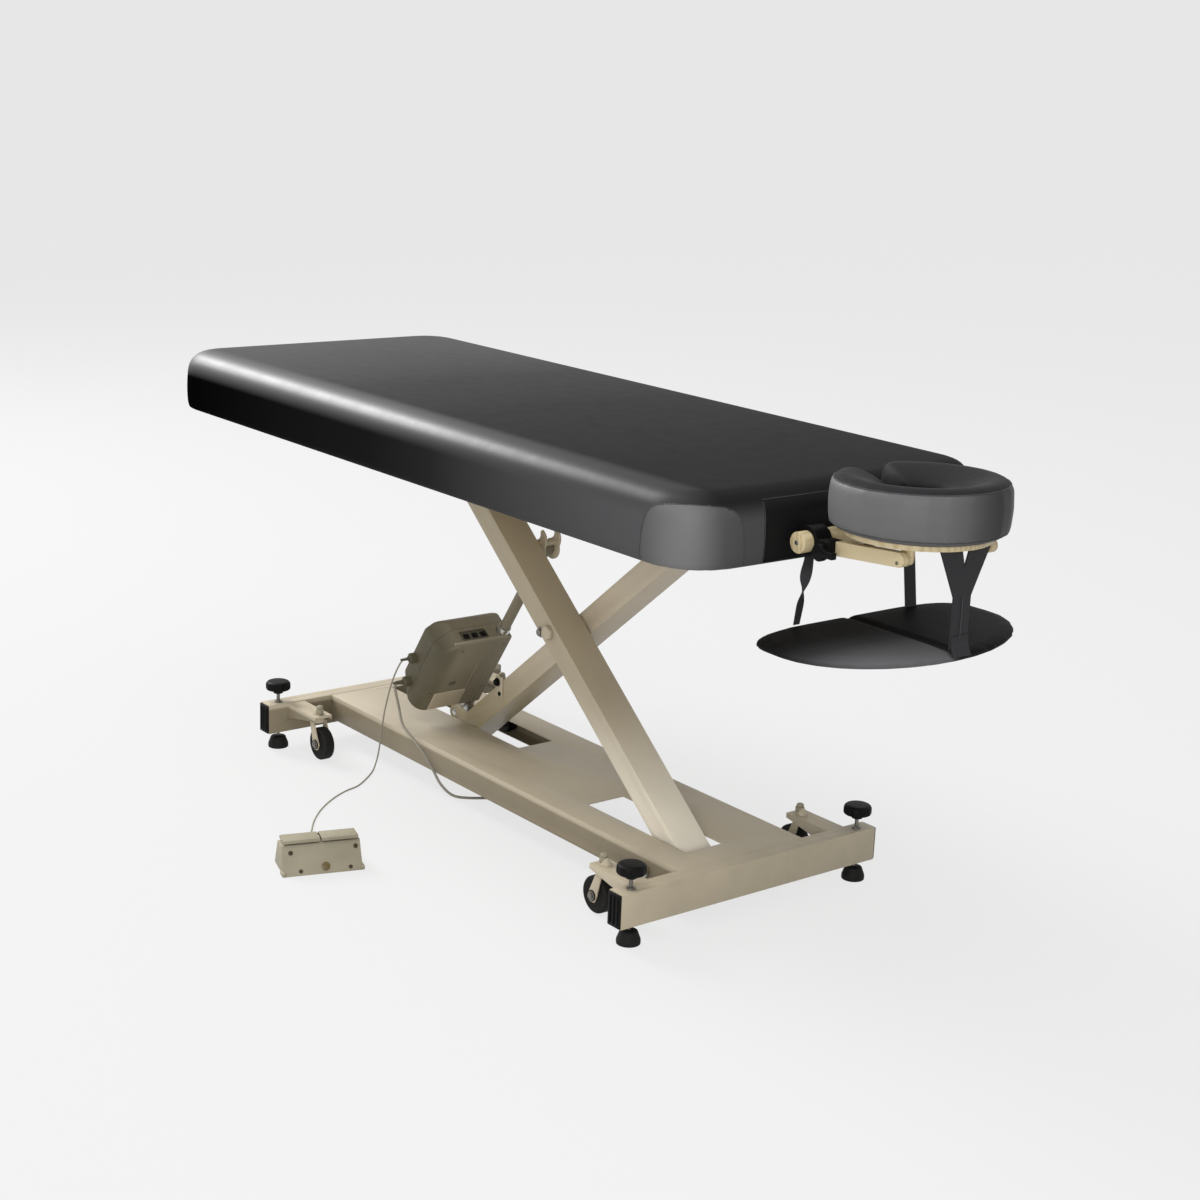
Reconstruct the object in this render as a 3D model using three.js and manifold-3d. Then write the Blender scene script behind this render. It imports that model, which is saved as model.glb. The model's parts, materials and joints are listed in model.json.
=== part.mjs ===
// Electric massage table with a scissor lift, a tilting face cradle and a foot pedal.
// Millimetres, +Z up. +X is the head end, -Y the near long side, Z = 0 the floor.
import * as THREE from 'three';
import { mergeVertices } from 'three/addons/utils/BufferGeometryUtils.js';
import Module from 'manifold-3d';

const wasm = await Module();
wasm.setup();

// Shared clearances: gap between pieces, overlap of joined solids, overrun of cuts
const seat = 0.3;
const fuse = 1;
const cutOver = 5;
const halfTurn = Math.PI;

// Table top
const topLength = 1854;
const topWidth = 740;
const topCorner = 100;
const skirtHeight = 56.326;
const foamThick = 63.374;
const padRise = 2.5;
const padEdge = 30;
const deckThick = 12;
const sideBoard = 22;
const deckInset = 6;
const deckShim = 1.3;
const trackHeadX = 672;

// Scissor lift
const legWidth = 76;
const legDepth = 50;
const legWall = 3;
const legGap = 8;
const legSpan = 1119;
const liftAngle = THREE.MathUtils.degToRad(39.1);
const fixedPivotX = 602;
const lowPivotZ = 75;
const axleRadius = 10;
const headRadius = 16;
const headThick = 8;
const rollerRadius = 21;
const rollerWidth = 26;
const rollerPlay = 4;
const bossRadius = 22;

// Base
const baseHalfWidth = 158;
const panTop = 108;
const panWall = 3;
const flangeWidth = 36;
const headBarX = 721;
const footBarX = -580;
const barThick = 38;
const barHeight = 68;
const barLength = 644;
const barWall = 2.5;
const capDepth = 14;
const slotHead = { x0: 330, x1: 640, y0: -88, y1: 4 };
const slotFoot = { x0: -542, x1: -27, y0: -4, y1: 88 };

// Levelling feet
const footOffset = 288;
const screwRadius = 5;
const padRadius = 23;
const padThick = 8;
const padNeckRadius = 9;
const padHeight = 18;
const knobRadius = 28;
const knobNeckRadius = 8;
const knobBottom = 128;
const knobRim = 137;
const knobTop = 160;
const knobEdge = 4;

// Casters
const casterOffset = 252;
const casterReach = 100;
const casterTrail = 18;
const wheelRadius = 37;
const wheelHalf = 12;
const wheelLift = 4;
const wheelEdge = 5;
const wheelCrown = 1;
const wheelAxleRadius = 5;
const forkHalfGap = 14;
const forkPlate = 3;
const forkPlateHalf = 13;
const forkRootHalf = 8;
const bridgeThick = 4;
const swivelRadius = 17;
const swivelThick = 12;
const stemRadius = 6;
const nutRadius = 12;
const nutTip = 4;
const nutHeight = 13;
const armWidth = 44;
const armThick = 5;
const armDrop = 2;
const armLip = 24;
const armFlangeRoot = 34;
const armFlangeTip = 10;

// Actuator, measured along its own axis from the lower pin
const strutFoot = { x: -50.598, z: 30 };
const strutHead = { x: -182.701, z: 124.138 };
const strutY = 42;
const pinRadius = 8;
const eyeRadius = 14;
const eyeHalf = 15;
const cheekThick = 6;
const clevisFoot = 36;
const clevisRadius = 16;
const neckHalf = 12;
const neckPlay = 1;
const rodRadius = 12;
const tubeRadius = 15;
const tubeStart = 100;
const tubeEnd = 290;
const rodStart = 258;
const caseStart = 52;
const caseEnd = 275;
const caseFront = 20;
const caseBack = -70;
const caseSplit = -25;
const caseNear = -115;
const caseWall = 3;
const gearStart = 58;
const motorRadius = 27;
const motorLength = 120;
const motorY = -50;
const socketHalf = 9;
const socketStand = 16;
const pedalSocket = { s: 157, d: -55 };
const mainsSocket = { s: 95, d: -40 };
const hornRadius = 24;
const hornBarOffset = 21.5;
const hornBarThick = 11;
const hornTipRise = 46;

// Face cradle
const dowelReach = 31;
const dowelDrop = 89;
const dowelRadius = 19;
const dowelHalf = 152;
const cradleRodRadius = 7;
const cradleRodY = 60;
const cradleRodLength = 150;
const clampRadius = 28;
const clampInner = 96;
const clampOuter = 131;
const clampReach = 54;
const railY = 105;
const railThick = 18;
const railHeight = 25;
const railRise = 12;
const tiltPinReach = 200;
const tiltPinRadius = 3.5;
const lugThick = 8;
const lugInset = 1;
const leverReach = 42;
const leverDrop = 10;
const leverRadius = 15;
const leverThick = 12;
const leverArm = 34;
const leverArmHalf = 6;
const cradleReach = 133;
const platformDrop = 67;
const platformOuter = 128;
const platformInner = 62;
const platformThick = 12;
const platformGapShare = 0.16;
const faceRingRadius = 109;
const faceRingHalf = 47;
const faceHeight = 75;
const faceEndShare = 0.86;
const faceSideShare = 0.5;
const faceTipShares = [0.25, 0.72, 0.94];

// Armrest sling
const slingFront = 172;
const slingBack = 102;
const slingHalfY = 262;
const slingReach = 82;
const slingDrop = 173;
const slingThick = 24;
const slingBackShare = 0.5;
const slingShares = [[0.9, 0], [1, 0.35], [0.99, 0.7], [0.9, 0.92], [0.6, 1]];
const strapThick = 3;
const strapWidth = 15;
const strapInset = 1;
const frontForkWidth = 28;
const frontStrapReach = 241;
const frontStrapHalf = 21;
const frontForkRise = 91;
const frontForkReach = 58;

// Foot pedal
const pedalX = 94.5;
const pedalY = -576;
const pedalTurn = THREE.MathUtils.degToRad(-17.3);
const pedalLength = 158;
const pedalDepth = 90;
const pedalTopDepth = 34;
const pedalHeight = 55;
const treadleThick = 7;
const treadleLift = 4;
const treadleGap = 4;
const treadleMargin = 4;
const hingeRadius = 3;
const glandStand = 3;
const glandHalf = 5;
const glandLow = 4;

// Cords
const pedalCordRadius = 1.8;
const mainsCordRadius = 3;
const coilX = 70;
const coilY = 246;
const coilTurns = 4;
const coilInner = 20;
const coilGap = 1.4;
const plugTail = 42;
const plugLength = 44;
const plugHalf = 13;
const prongRadius = 2.4;
const prongSpread = 9.5;
const prongLength = 19;

// Values worked out from the sizes above
const footing = wheelLift + wheelRadius;
const barBottom = panTop - barHeight;
const slope = { x: Math.cos(liftAngle), z: Math.sin(liftAngle) };
const lowPivot = { x: fixedPivotX, z: lowPivotZ };
const highPivot = { x: fixedPivotX, z: lowPivotZ + legSpan * slope.z };
const lowRoller = { x: fixedPivotX - legSpan * slope.x, z: lowPivot.z };
const highRoller = { x: lowRoller.x, z: highPivot.z };
const crossing = { x: (lowPivot.x + highRoller.x) / 2, z: (lowPivot.z + highRoller.z) / 2 };
const trackTop = highPivot.z + rollerRadius + seat;
const deckBottom = trackTop + panWall + deckShim;
const deckTop = deckBottom + deckThick;
const padBottom = deckTop + seat;
const padTop = padBottom + foamThick;
const topUnderside = deckBottom - skirtHeight;
const trackSpan = { x0: slotFoot.x0, x1: trackHeadX };
const strutLow = { x: lowRoller.x + strutFoot.x, z: lowRoller.z + strutFoot.z };
const strutHigh = { x: crossing.x + strutHead.x, z: crossing.z + strutHead.z };
const strutRun = { x: strutHigh.x - strutLow.x, z: strutHigh.z - strutLow.z };
const strutLength = Math.hypot(strutRun.x, strutRun.z);
const strutAngle = Math.atan2(strutRun.z, strutRun.x);
const caseFar = strutY + tubeRadius + seat + caseWall;
const dowelX = topLength / 2 + dowelReach;
const dowelZ = padTop - dowelDrop;
const clampFront = dowelX + clampReach;
const tiltPinX = dowelX + tiltPinReach;
const leverX = dowelX + leverReach;
const leverZ = dowelZ - leverDrop;
const cradleX = dowelX + cradleReach;
const platformBottom = padTop - platformDrop;
const railEndZ = platformBottom - railHeight / 2 - lugInset;
const railStartZ = railEndZ - railRise;
const slingX = dowelX + slingReach;
const slingBottom = dowelZ - slingDrop;
const armrestZ = slingBottom + slingThick;
const frontStrapX = dowelX + frontStrapReach;
const frontForkZ = armrestZ + frontForkRise;

// Materials
const paint = { color: 0xb9b29a, roughness: 0.45, metalness: 0.2 };
const finishes = {
  cream: new THREE.MeshStandardMaterial(paint),
  vinyl: new THREE.MeshStandardMaterial({ color: 0x2a2b2d, roughness: 0.38, metalness: 0 }),
  black: new THREE.MeshStandardMaterial({ color: 0x141414, roughness: 0.55, metalness: 0 }),
  steel: new THREE.MeshStandardMaterial({ color: 0x8d8f92, roughness: 0.35, metalness: 0.9 }),
  maple: new THREE.MeshStandardMaterial({ color: 0xd9bf8c, roughness: 0.5, metalness: 0 }),
  housing: new THREE.MeshStandardMaterial({ color: 0x8f8974, roughness: 0.6, metalness: 0 }),
  webbing: new THREE.MeshStandardMaterial({ color: 0x1b1b1c, roughness: 0.9, metalness: 0 }),
  cord: new THREE.MeshStandardMaterial({ color: 0xb3b0a4, roughness: 0.6, metalness: 0 }),
};

// Closed shape to solid, and back
function solidOf(geometry) {
  const bare = geometry.clone();
  bare.deleteAttribute('normal');
  bare.deleteAttribute('uv');
  const merged = mergeVertices(bare, 1e-4);
  const vertProperties = new Float32Array(merged.attributes.position.array);
  const triVerts = new Uint32Array(merged.index.array);
  return new wasm.Manifold(new wasm.Mesh({ numProp: 3, vertProperties, triVerts }));
}

function geometryOf(solid) {
  const mesh = solid.getMesh();
  const geometry = new THREE.BufferGeometry();
  const position = new Float32Array(mesh.numVert * 3);
  for (let i = 0; i < mesh.numVert; i += 1) {
    for (let k = 0; k < 3; k += 1) {
      position[3 * i + k] = mesh.vertProperties[mesh.numProp * i + k];
    }
  }
  geometry.setAttribute('position', new THREE.BufferAttribute(position, 3));
  geometry.setIndex(new THREE.BufferAttribute(new Uint32Array(mesh.triVerts), 1));
  geometry.computeVertexNormals();
  return geometry;
}

function joined(first, ...rest) {
  return geometryOf(rest.reduce((sum, next) => sum.add(solidOf(next)), solidOf(first)));
}

function cut(first, ...tools) {
  return geometryOf(tools.reduce((rest, tool) => rest.subtract(solidOf(tool)), solidOf(first)));
}

// Two places in rising order
function span(a, b) {
  return [Math.min(a, b), Math.max(a, b)];
}

// Basic shapes
function block(x0, x1, y0, y1, z0, z1) {
  const geometry = new THREE.BoxGeometry(x1 - x0, y1 - y0, z1 - z0);
  return geometry.translate((x0 + x1) / 2, (y0 + y1) / 2, (z0 + z1) / 2);
}

function barY(radius, x, z, y0, y1, sides = 16) {
  const geometry = new THREE.CylinderGeometry(radius, radius, y1 - y0, sides);
  return geometry.translate(0, (y0 + y1) / 2, 0).translate(x, 0, z);
}

function barZ(radius, x, y, z0, z1, sides = 12) {
  const geometry = new THREE.CylinderGeometry(radius, radius, z1 - z0, sides);
  return geometry.rotateX(halfTurn / 2).translate(x, y, (z0 + z1) / 2);
}

function barX(radius, y, z, x0, x1, sides = 16) {
  const geometry = new THREE.CylinderGeometry(radius, radius, x1 - x0, sides);
  return geometry.rotateZ(halfTurn / 2).translate((x0 + x1) / 2, y, z);
}

function turnedZ(points, x, y, sides = 16) {
  const profile = points.map(([r, z]) => new THREE.Vector2(r, z));
  return new THREE.LatheGeometry(profile, sides).rotateX(halfTurn / 2).translate(x, y, 0);
}

function turnedY(points, x, z, sides = 20) {
  const profile = points.map(([r, y]) => new THREE.Vector2(r, y));
  return new THREE.LatheGeometry(profile, sides).translate(x, 0, z);
}

// A side-view outline in X and Z, carried across from y0 to y1
function slabY(shape, y0, y1, curveSegments = 6) {
  const options = { depth: y1 - y0, bevelEnabled: false, curveSegments };
  const geometry = new THREE.ExtrudeGeometry(shape, options);
  return geometry.rotateX(halfTurn / 2).translate(0, y1, 0);
}

function slabX(shape, x0, x1) {
  const geometry = new THREE.ExtrudeGeometry(shape, { depth: x1 - x0, bevelEnabled: false });
  return geometry.rotateX(halfTurn / 2).rotateZ(halfTurn / 2).translate(x0, 0, 0);
}

function slabZ(shape, z0, z1, curveSegments = 6) {
  const options = { depth: z1 - z0, bevelEnabled: false, curveSegments };
  const geometry = new THREE.ExtrudeGeometry(shape, options);
  return geometry.translate(0, 0, z0);
}

function outline(points) {
  return new THREE.Shape(points.map(([a, b]) => new THREE.Vector2(a, b)));
}

function roundedRectangle(halfX, halfY, radius) {
  const shape = new THREE.Shape();
  shape.absarc(halfX - radius, halfY - radius, radius, 0, halfTurn / 2);
  shape.absarc(radius - halfX, halfY - radius, radius, halfTurn / 2, halfTurn);
  shape.absarc(radius - halfX, radius - halfY, radius, halfTurn, 1.5 * halfTurn);
  shape.absarc(halfX - radius, radius - halfY, radius, 1.5 * halfTurn, 2 * halfTurn);
  shape.closePath();
  return shape;
}

// The same outline as a ring of points at one height
function roundedRing(halfX, halfY, radius, z, perCorner = 8) {
  const ring = [];
  for (const [signX, signY, start] of [[1, 1, 0], [-1, 1, 1], [-1, -1, 2], [1, -1, 3]]) {
    for (let k = 0; k <= perCorner; k += 1) {
      const t = (start + k / perCorner) * (halfTurn / 2);
      ring.push(new THREE.Vector3(signX * (halfX - radius) + radius * Math.cos(t),
        signY * (halfY - radius) + radius * Math.sin(t), z));
    }
  }
  return ring;
}

// A closed skin through rings of equal point counts, with flat or pointed ends
function skinOf(rings) {
  const count = rings[0].length;
  const position = rings.flat().flatMap((p) => [p.x, p.y, p.z]);
  const index = [];
  for (let r = 0; r + 1 < rings.length; r += 1) {
    for (let i = 0; i < count; i += 1) {
      const a = r * count + i;
      const b = r * count + (i + 1) % count;
      index.push(a, b, b + count, a, b + count, a + count);
    }
  }
  for (const [r, first, second] of [[0, 1, 0], [rings.length - 1, 0, 1]]) {
    const middle = rings[r].reduce((sum, p) => sum.add(p), new THREE.Vector3()).divideScalar(count);
    const centre = position.length / 3;
    position.push(middle.x, middle.y, middle.z);
    for (let i = 0; i < count; i += 1) {
      const ends = [r * count + i, r * count + (i + 1) % count];
      index.push(centre, ends[first], ends[second]);
    }
  }
  const geometry = new THREE.BufferGeometry();
  geometry.setAttribute('position', new THREE.Float32BufferAttribute(position, 3));
  geometry.setIndex(index);
  geometry.computeVertexNormals();
  return geometry;
}

const table = new THREE.Group();

function add(parent, name, geometry, finish) {
  const mesh = new THREE.Mesh(geometry, finishes[finish]);
  mesh.name = name;
  parent.add(mesh);
  return mesh;
}

// Base: a folded pan between two crossbars
function makePan() {
  const x0 = footBarX + barThick / 2 + seat;
  const x1 = headBarX - barThick / 2 - seat;
  const flangeTop = lowPivotZ - rollerRadius - seat;
  const flangeBottom = flangeTop - panWall;
  const outside = block(x0, x1, -baseHalfWidth, baseHalfWidth, flangeBottom, panTop);
  const wallIn = baseHalfWidth - panWall;
  const inside = block(x0 - cutOver, x1 + cutOver, -wallIn, wallIn, flangeTop, panTop - panWall);
  const gapIn = baseHalfWidth - flangeWidth;
  const mouth = block(x0 - cutOver, x1 + cutOver, -gapIn, gapIn,
    flangeBottom - cutOver, flangeTop + cutOver);
  const slots = [slotHead, slotFoot].map((s) =>
    block(s.x0, s.x1, s.y0, s.y1, panTop - panWall - cutOver, panTop + cutOver));
  const hole = barY(axleRadius + seat, lowPivot.x, lowPivot.z,
    -baseHalfWidth - cutOver, baseHalfWidth + cutOver);
  add(table, 'base_pan', cut(outside, inside, mouth, ...slots, hole), 'cream');
}

function axleBetween(x, z, halfWidth) {
  const head = halfWidth + seat + headThick;
  const shaft = barY(axleRadius, x, z, -halfWidth - seat - cutOver, halfWidth + seat + cutOver);
  const near = barY(headRadius, x, z, -head, -halfWidth - seat, 6);
  const far = barY(headRadius, x, z, halfWidth + seat, head, 6);
  return joined(shaft, near, far);
}

// The arm that carries one caster, seen from the side, with a lip down each edge
function casterArm(barX0, inward, y) {
  const tip = barX0 + inward * (casterReach + armLip);
  const top = panTop - armDrop;
  const low = Math.min(barX0, tip);
  const high = Math.max(barX0, tip);
  const plate = block(low, high, y - armWidth / 2, y + armWidth / 2, top - armThick, top);
  const side = outline([[barX0, top - fuse], [barX0, top - armFlangeRoot],
    [tip, top - armFlangeTip], [tip, top - fuse]]);
  const lips = [-1, 1].map((end) => {
    const edge = y + end * (armWidth - panWall) / 2;
    return slabY(side, edge - panWall / 2, edge + panWall / 2);
  });
  return { plate, lips };
}

function makeCrossbar(name, x, inward) {
  const half = barLength / 2;
  const face = x + inward * barThick / 2;
  const outside = block(x - barThick / 2, x + barThick / 2, -half, half, barBottom, panTop);
  const inX = barThick / 2 - barWall;
  const inside = block(x - inX, x + inX, -half - cutOver, half + cutOver,
    barBottom + barWall, panTop - barWall);
  let bar = cut(outside, inside);
  for (const side of [-1, 1]) {
    const { plate, lips } = casterArm(face, inward, side * casterOffset);
    bar = joined(bar, ...[plate, ...lips].map((piece) => piece.translate(-inward * fuse, 0, 0)));
    const stemX = face + inward * casterReach;
    bar = cut(bar,
      barZ(screwRadius + seat, x, side * footOffset, barBottom - cutOver, panTop + cutOver),
      barZ(stemRadius + seat, stemX, side * casterOffset,
        panTop - 2 * armThick - cutOver, panTop + cutOver));
  }
  add(table, name, bar, 'cream');
  for (const [word, side] of [['near', -1], ['far', 1]]) {
    const y0 = side < 0 ? -half : half - capDepth;
    const cap = block(x - inX + seat, x + inX - seat, y0, y0 + capDepth,
      barBottom + barWall + seat, panTop - barWall - seat);
    add(table, `${name}_cap_${word}`, cap, 'black');
  }
}

// Levelling foot: a swivel pad on a screw with a hand knob
function makeLevellingFoot(name, x, y) {
  const pad = turnedZ([[0, 0], [padRadius, 0], [padRadius, padThick], [padNeckRadius, padHeight],
    [0, padHeight]], x, y);
  add(table, `levelling_pad_${name}`, pad, 'black');
  const screw = turnedZ([[0, padHeight + seat], [screwRadius, padHeight + seat], [screwRadius, knobBottom],
    [knobNeckRadius, knobBottom], [knobRadius - knobEdge, knobRim],
    [knobRadius, knobRim + knobEdge], [knobRadius, knobTop - knobEdge],
    [knobRadius - knobEdge, knobTop], [0, knobTop]], x, y);
  add(table, `levelling_knob_${name}`, screw, 'black');
}

// Caster: a swivelling fork and its wheel
function makeCaster(name, x, y, inward) {
  const wheelX = x + inward * casterTrail;
  const armUnder = panTop - armDrop - armThick - seat;
  const headUnder = armUnder - swivelThick;
  const nutBase = panTop - armDrop + seat;
  const stem = turnedZ([[0, headUnder], [swivelRadius, headUnder], [swivelRadius, armUnder],
    [stemRadius, armUnder], [stemRadius, nutBase], [nutRadius, nutBase], [nutTip, nutBase + nutHeight],
    [0, nutBase + nutHeight]], x, y);
  const root = headUnder + bridgeThick / 2;
  const side = outline([[x - forkRootHalf, root], [x + forkRootHalf, root],
    [wheelX + forkPlateHalf, footing], [wheelX + forkPlateHalf / 2, footing - forkPlateHalf],
    [wheelX - forkPlateHalf / 2, footing - forkPlateHalf], [wheelX - forkPlateHalf, footing]]);
  const cheeks = [-1, 1].map((end) => {
    const middle = y + end * (forkHalfGap + forkPlate / 2);
    return slabY(side, middle - forkPlate / 2, middle + forkPlate / 2);
  });
  const pinHalf = forkHalfGap + forkPlate;
  const pin = barY(wheelAxleRadius, wheelX, footing, y - pinHalf, y + pinHalf, 12);
  const bridgeHalf = forkHalfGap + fuse;
  const bridge = block(x - forkRootHalf, x + forkRootHalf, y - bridgeHalf, y + bridgeHalf,
    headUnder, headUnder + bridgeThick);
  add(table, `caster_fork_${name}`, joined(stem, bridge, ...cheeks, pin), 'cream');
  const bore = wheelAxleRadius + seat;
  const hub = forkHalfGap - seat;
  const wheel = turnedY([[bore, -hub], [wheelRadius - 3 * wheelEdge, -hub],
    [wheelRadius - 2 * wheelEdge, -wheelHalf], [wheelRadius - wheelEdge / 2, wheelCrown - wheelHalf],
    [wheelRadius, wheelEdge - wheelHalf], [wheelRadius, wheelHalf - wheelEdge],
    [wheelRadius - wheelEdge / 2, wheelHalf - wheelCrown],
    [wheelRadius - 2 * wheelEdge, wheelHalf], [wheelRadius - 3 * wheelEdge, hub],
    [bore, hub], [bore, -hub]], wheelX, footing, 16);
  add(table, `caster_wheel_${name}`, wheel.translate(0, y, 0), 'black');
}

function makeBase() {
  makePan();
  makeCrossbar('foot_crossbar', footBarX, 1);
  makeCrossbar('head_crossbar', headBarX, -1);
  add(table, 'base_axle', axleBetween(lowPivot.x, lowPivot.z, baseHalfWidth), 'steel');
  for (const [end, x, inward] of [['foot', footBarX, 1], ['head', headBarX, -1]]) {
    for (const [word, side] of [['near', -1], ['far', 1]]) {
      makeLevellingFoot(`${end}_${word}`, x, side * footOffset);
      const stemX = x + inward * (barThick / 2 + casterReach);
      makeCaster(`${end}_${word}`, stemX, side * casterOffset, inward);
    }
  }
}

// One scissor leg along local X from its lower axle, between y0 and y1
function legTube(y0, y1) {
  const half = legDepth / 2;
  const side = new THREE.Shape();
  side.absarc(legSpan, 0, half, -halfTurn / 2, halfTurn / 2);
  side.absarc(0, 0, half, halfTurn / 2, 1.5 * halfTurn);
  side.closePath();
  const hollow = block(-half - cutOver, legSpan + half + cutOver, y0 + legWall, y1 - legWall,
    legWall - half, half - legWall);
  const holes = [0, legSpan / 2, legSpan].map((u) =>
    barY(axleRadius + seat, u, 0, y0 - cutOver, y1 + cutOver));
  return cut(slabY(side, y0, y1), hollow, ...holes);
}

function makeLegs() {
  const inner = legGap / 2;
  const outer = inner + legWidth;
  const boss = cut(barY(bossRadius, legSpan / 2, 0, -inner - fuse, inner - seat),
    barY(axleRadius + seat, legSpan / 2, 0, -inner - cutOver, inner + cutOver));
  const legA = add(table, 'leg_a', joined(legTube(-outer, -inner), boss), 'cream');
  legA.position.set(lowPivot.x, 0, lowPivot.z);
  legA.rotation.y = liftAngle - halfTurn;

  // The clevis on leg B holds the lower pin of the actuator
  const dx = strutLow.x - lowRoller.x;
  const dz = strutLow.z - lowRoller.z;
  const u = dx * slope.x + dz * slope.z;
  const v = dz * slope.x - dx * slope.z;
  const cheek = new THREE.Shape();
  cheek.moveTo(0, legDepth / 2 - fuse);
  cheek.lineTo(clevisFoot, legDepth / 2 - fuse);
  cheek.lineTo(u + eyeRadius, v + eyeRadius);
  cheek.absarc(u, v, clevisRadius, halfTurn / 3, 1.2 * halfTurn);
  cheek.closePath();
  const cheeks = [-1, 1].map((end) => {
    const middle = strutY + end * (eyeHalf + seat + cheekThick / 2);
    return slabY(cheek, middle - cheekThick / 2, middle + cheekThick / 2);
  });
  const pinHole = barY(pinRadius + seat, u, v, inner, outer);
  const legB = cut(joined(legTube(inner, outer), ...cheeks), pinHole);
  const meshB = add(table, 'leg_b', legB, 'cream');
  meshB.position.set(lowRoller.x, 0, lowRoller.z);
  meshB.rotation.y = -liftAngle;

  add(table, 'centre_pin', axleBetween(crossing.x, crossing.z, outer), 'steel');
  for (const [name, at] of [['low', lowRoller], ['high', highRoller]]) {
    const tip = baseHalfWidth - panWall - rollerPlay;
    const face = tip - rollerWidth;
    const profile = [[0, -tip], [rollerRadius, -tip], [rollerRadius, -face], [axleRadius, -face],
      [axleRadius, face], [rollerRadius, face], [rollerRadius, tip], [0, tip]];
    add(table, `roller_shaft_${name}`, turnedY(profile, at.x, at.z), 'black');
  }
}

// Linear actuator: local X runs from the lower pin to the upper pin, local Z towards the foot end
function makeActuator() {
  const strut = new THREE.Group();
  strut.position.set(strutLow.x, 0, strutLow.z);
  strut.rotation.y = -strutAngle;
  table.add(strut);

  const wallOut = { y0: caseNear, y1: caseFar };
  const wallIn = { y0: caseNear + caseWall, y1: caseFar - caseWall };
  const gearEnd = tubeStart - seat;
  const neck = block(0, gearStart + fuse, strutY - eyeHalf, strutY + eyeHalf, -neckHalf, neckHalf);
  const eye = barY(eyeRadius, 0, 0, strutY - eyeHalf, strutY + eyeHalf);
  const pin = barY(pinRadius, 0, 0, strutY - eyeHalf - cheekThick, strutY + eyeHalf + cheekThick);
  const gearbox = block(gearStart, gearEnd, wallIn.y0 + seat, wallIn.y1 - seat,
    -caseFront + caseWall + seat, -caseBack - caseWall - seat);
  const motorZ = (-caseBack - caseFront) / 2;
  const motor = barX(motorRadius, motorY, motorZ, gearEnd - fuse, gearEnd + motorLength);
  add(strut, 'drive_unit', joined(gearbox, neck, eye, pin, motor), 'steel');

  const tube = cut(barX(tubeRadius, strutY, 0, tubeStart, tubeEnd),
    barX(rodRadius + seat, strutY, 0, tubeStart - cutOver, tubeEnd + cutOver));
  add(strut, 'outer_tube', tube, 'steel');

  const rodEye = barY(rodRadius, strutLength, 0, strutY - eyeHalf, strutY + eyeHalf, 24);
  const rodBar = barX(rodRadius, strutY, 0, rodStart, strutLength, 24);
  add(strut, 'actuator_rod', joined(rodBar, rodEye), 'cream');

  // Two half shells meet at the split and hold the drive between them
  const front = block(caseStart, caseEnd, wallOut.y0, wallOut.y1, -caseFront, -caseSplit);
  const frontIn = block(caseStart + caseWall, caseEnd - caseWall, wallIn.y0, wallIn.y1,
    caseWall - caseFront, -caseSplit + cutOver);
  const tubeHole = barX(tubeRadius + seat, strutY, 0,
    caseEnd - caseWall - cutOver, caseEnd + cutOver);
  const neckSpan = eyeHalf + neckPlay;
  const neckHole = block(caseStart - cutOver, caseStart + caseWall + cutOver, strutY - neckSpan,
    Math.min(strutY + neckSpan, wallOut.y1 + cutOver), -eyeRadius, eyeRadius);
  add(strut, 'housing_cover', cut(front, frontIn, tubeHole, neckHole), 'housing');
  const back = block(caseStart, caseEnd, wallOut.y0, wallOut.y1, seat - caseSplit, -caseBack);
  const backIn = block(caseStart + caseWall, caseEnd - caseWall, wallIn.y0, wallIn.y1,
    -caseSplit - cutOver, -caseBack - caseWall);
  const sockets = [pedalSocket, mainsSocket].map((at) =>
    block(at.s - socketHalf, at.s + socketHalf, caseNear - socketStand, caseNear + fuse,
      -at.d - socketHalf, -at.d + socketHalf));
  add(strut, 'housing_shell', joined(cut(back, backIn), ...sockets), 'housing');

  // The horn on leg A reaches across to the rod's eye
  const normal = { x: slope.z, z: slope.x };
  const barX0 = strutHigh.x + hornBarOffset * normal.x;
  const barZ0 = strutHigh.z + hornBarOffset * normal.z;
  const horn = [];
  for (const end of [-1, 1]) {
    const middle = strutY + end * (eyeHalf + seat + cheekThick / 2);
    const plate = new THREE.Shape();
    plate.absarc(strutHigh.x, strutHigh.z, hornRadius, 0.9 * halfTurn, 2.1 * halfTurn);
    plate.quadraticCurveTo(strutHigh.x + 1.5 * hornRadius, strutHigh.z + hornTipRise * 0.7,
      strutHigh.x + hornRadius / 2, strutHigh.z + hornTipRise);
    plate.lineTo(strutHigh.x + hornRadius / 3, strutHigh.z + hornTipRise - cheekThick);
    plate.quadraticCurveTo(strutHigh.x + hornRadius / 2, strutHigh.z + hornRadius,
      strutHigh.x - hornRadius / 2, strutHigh.z + hornRadius * 0.8);
    plate.closePath();
    horn.push(slabY(plate, middle - cheekThick / 2, middle + cheekThick / 2, 8));
  }
  const cross = block(-hornBarThick / 2, hornBarThick / 2, seat - legGap / 2,
    strutY + eyeHalf + seat + cheekThick, -hornBarThick / 2, hornBarThick / 2);
  horn.push(cross.rotateY(liftAngle).translate(barX0, 0, barZ0));
  add(table, 'actuator_horn', joined(...horn), 'cream');
}

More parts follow.
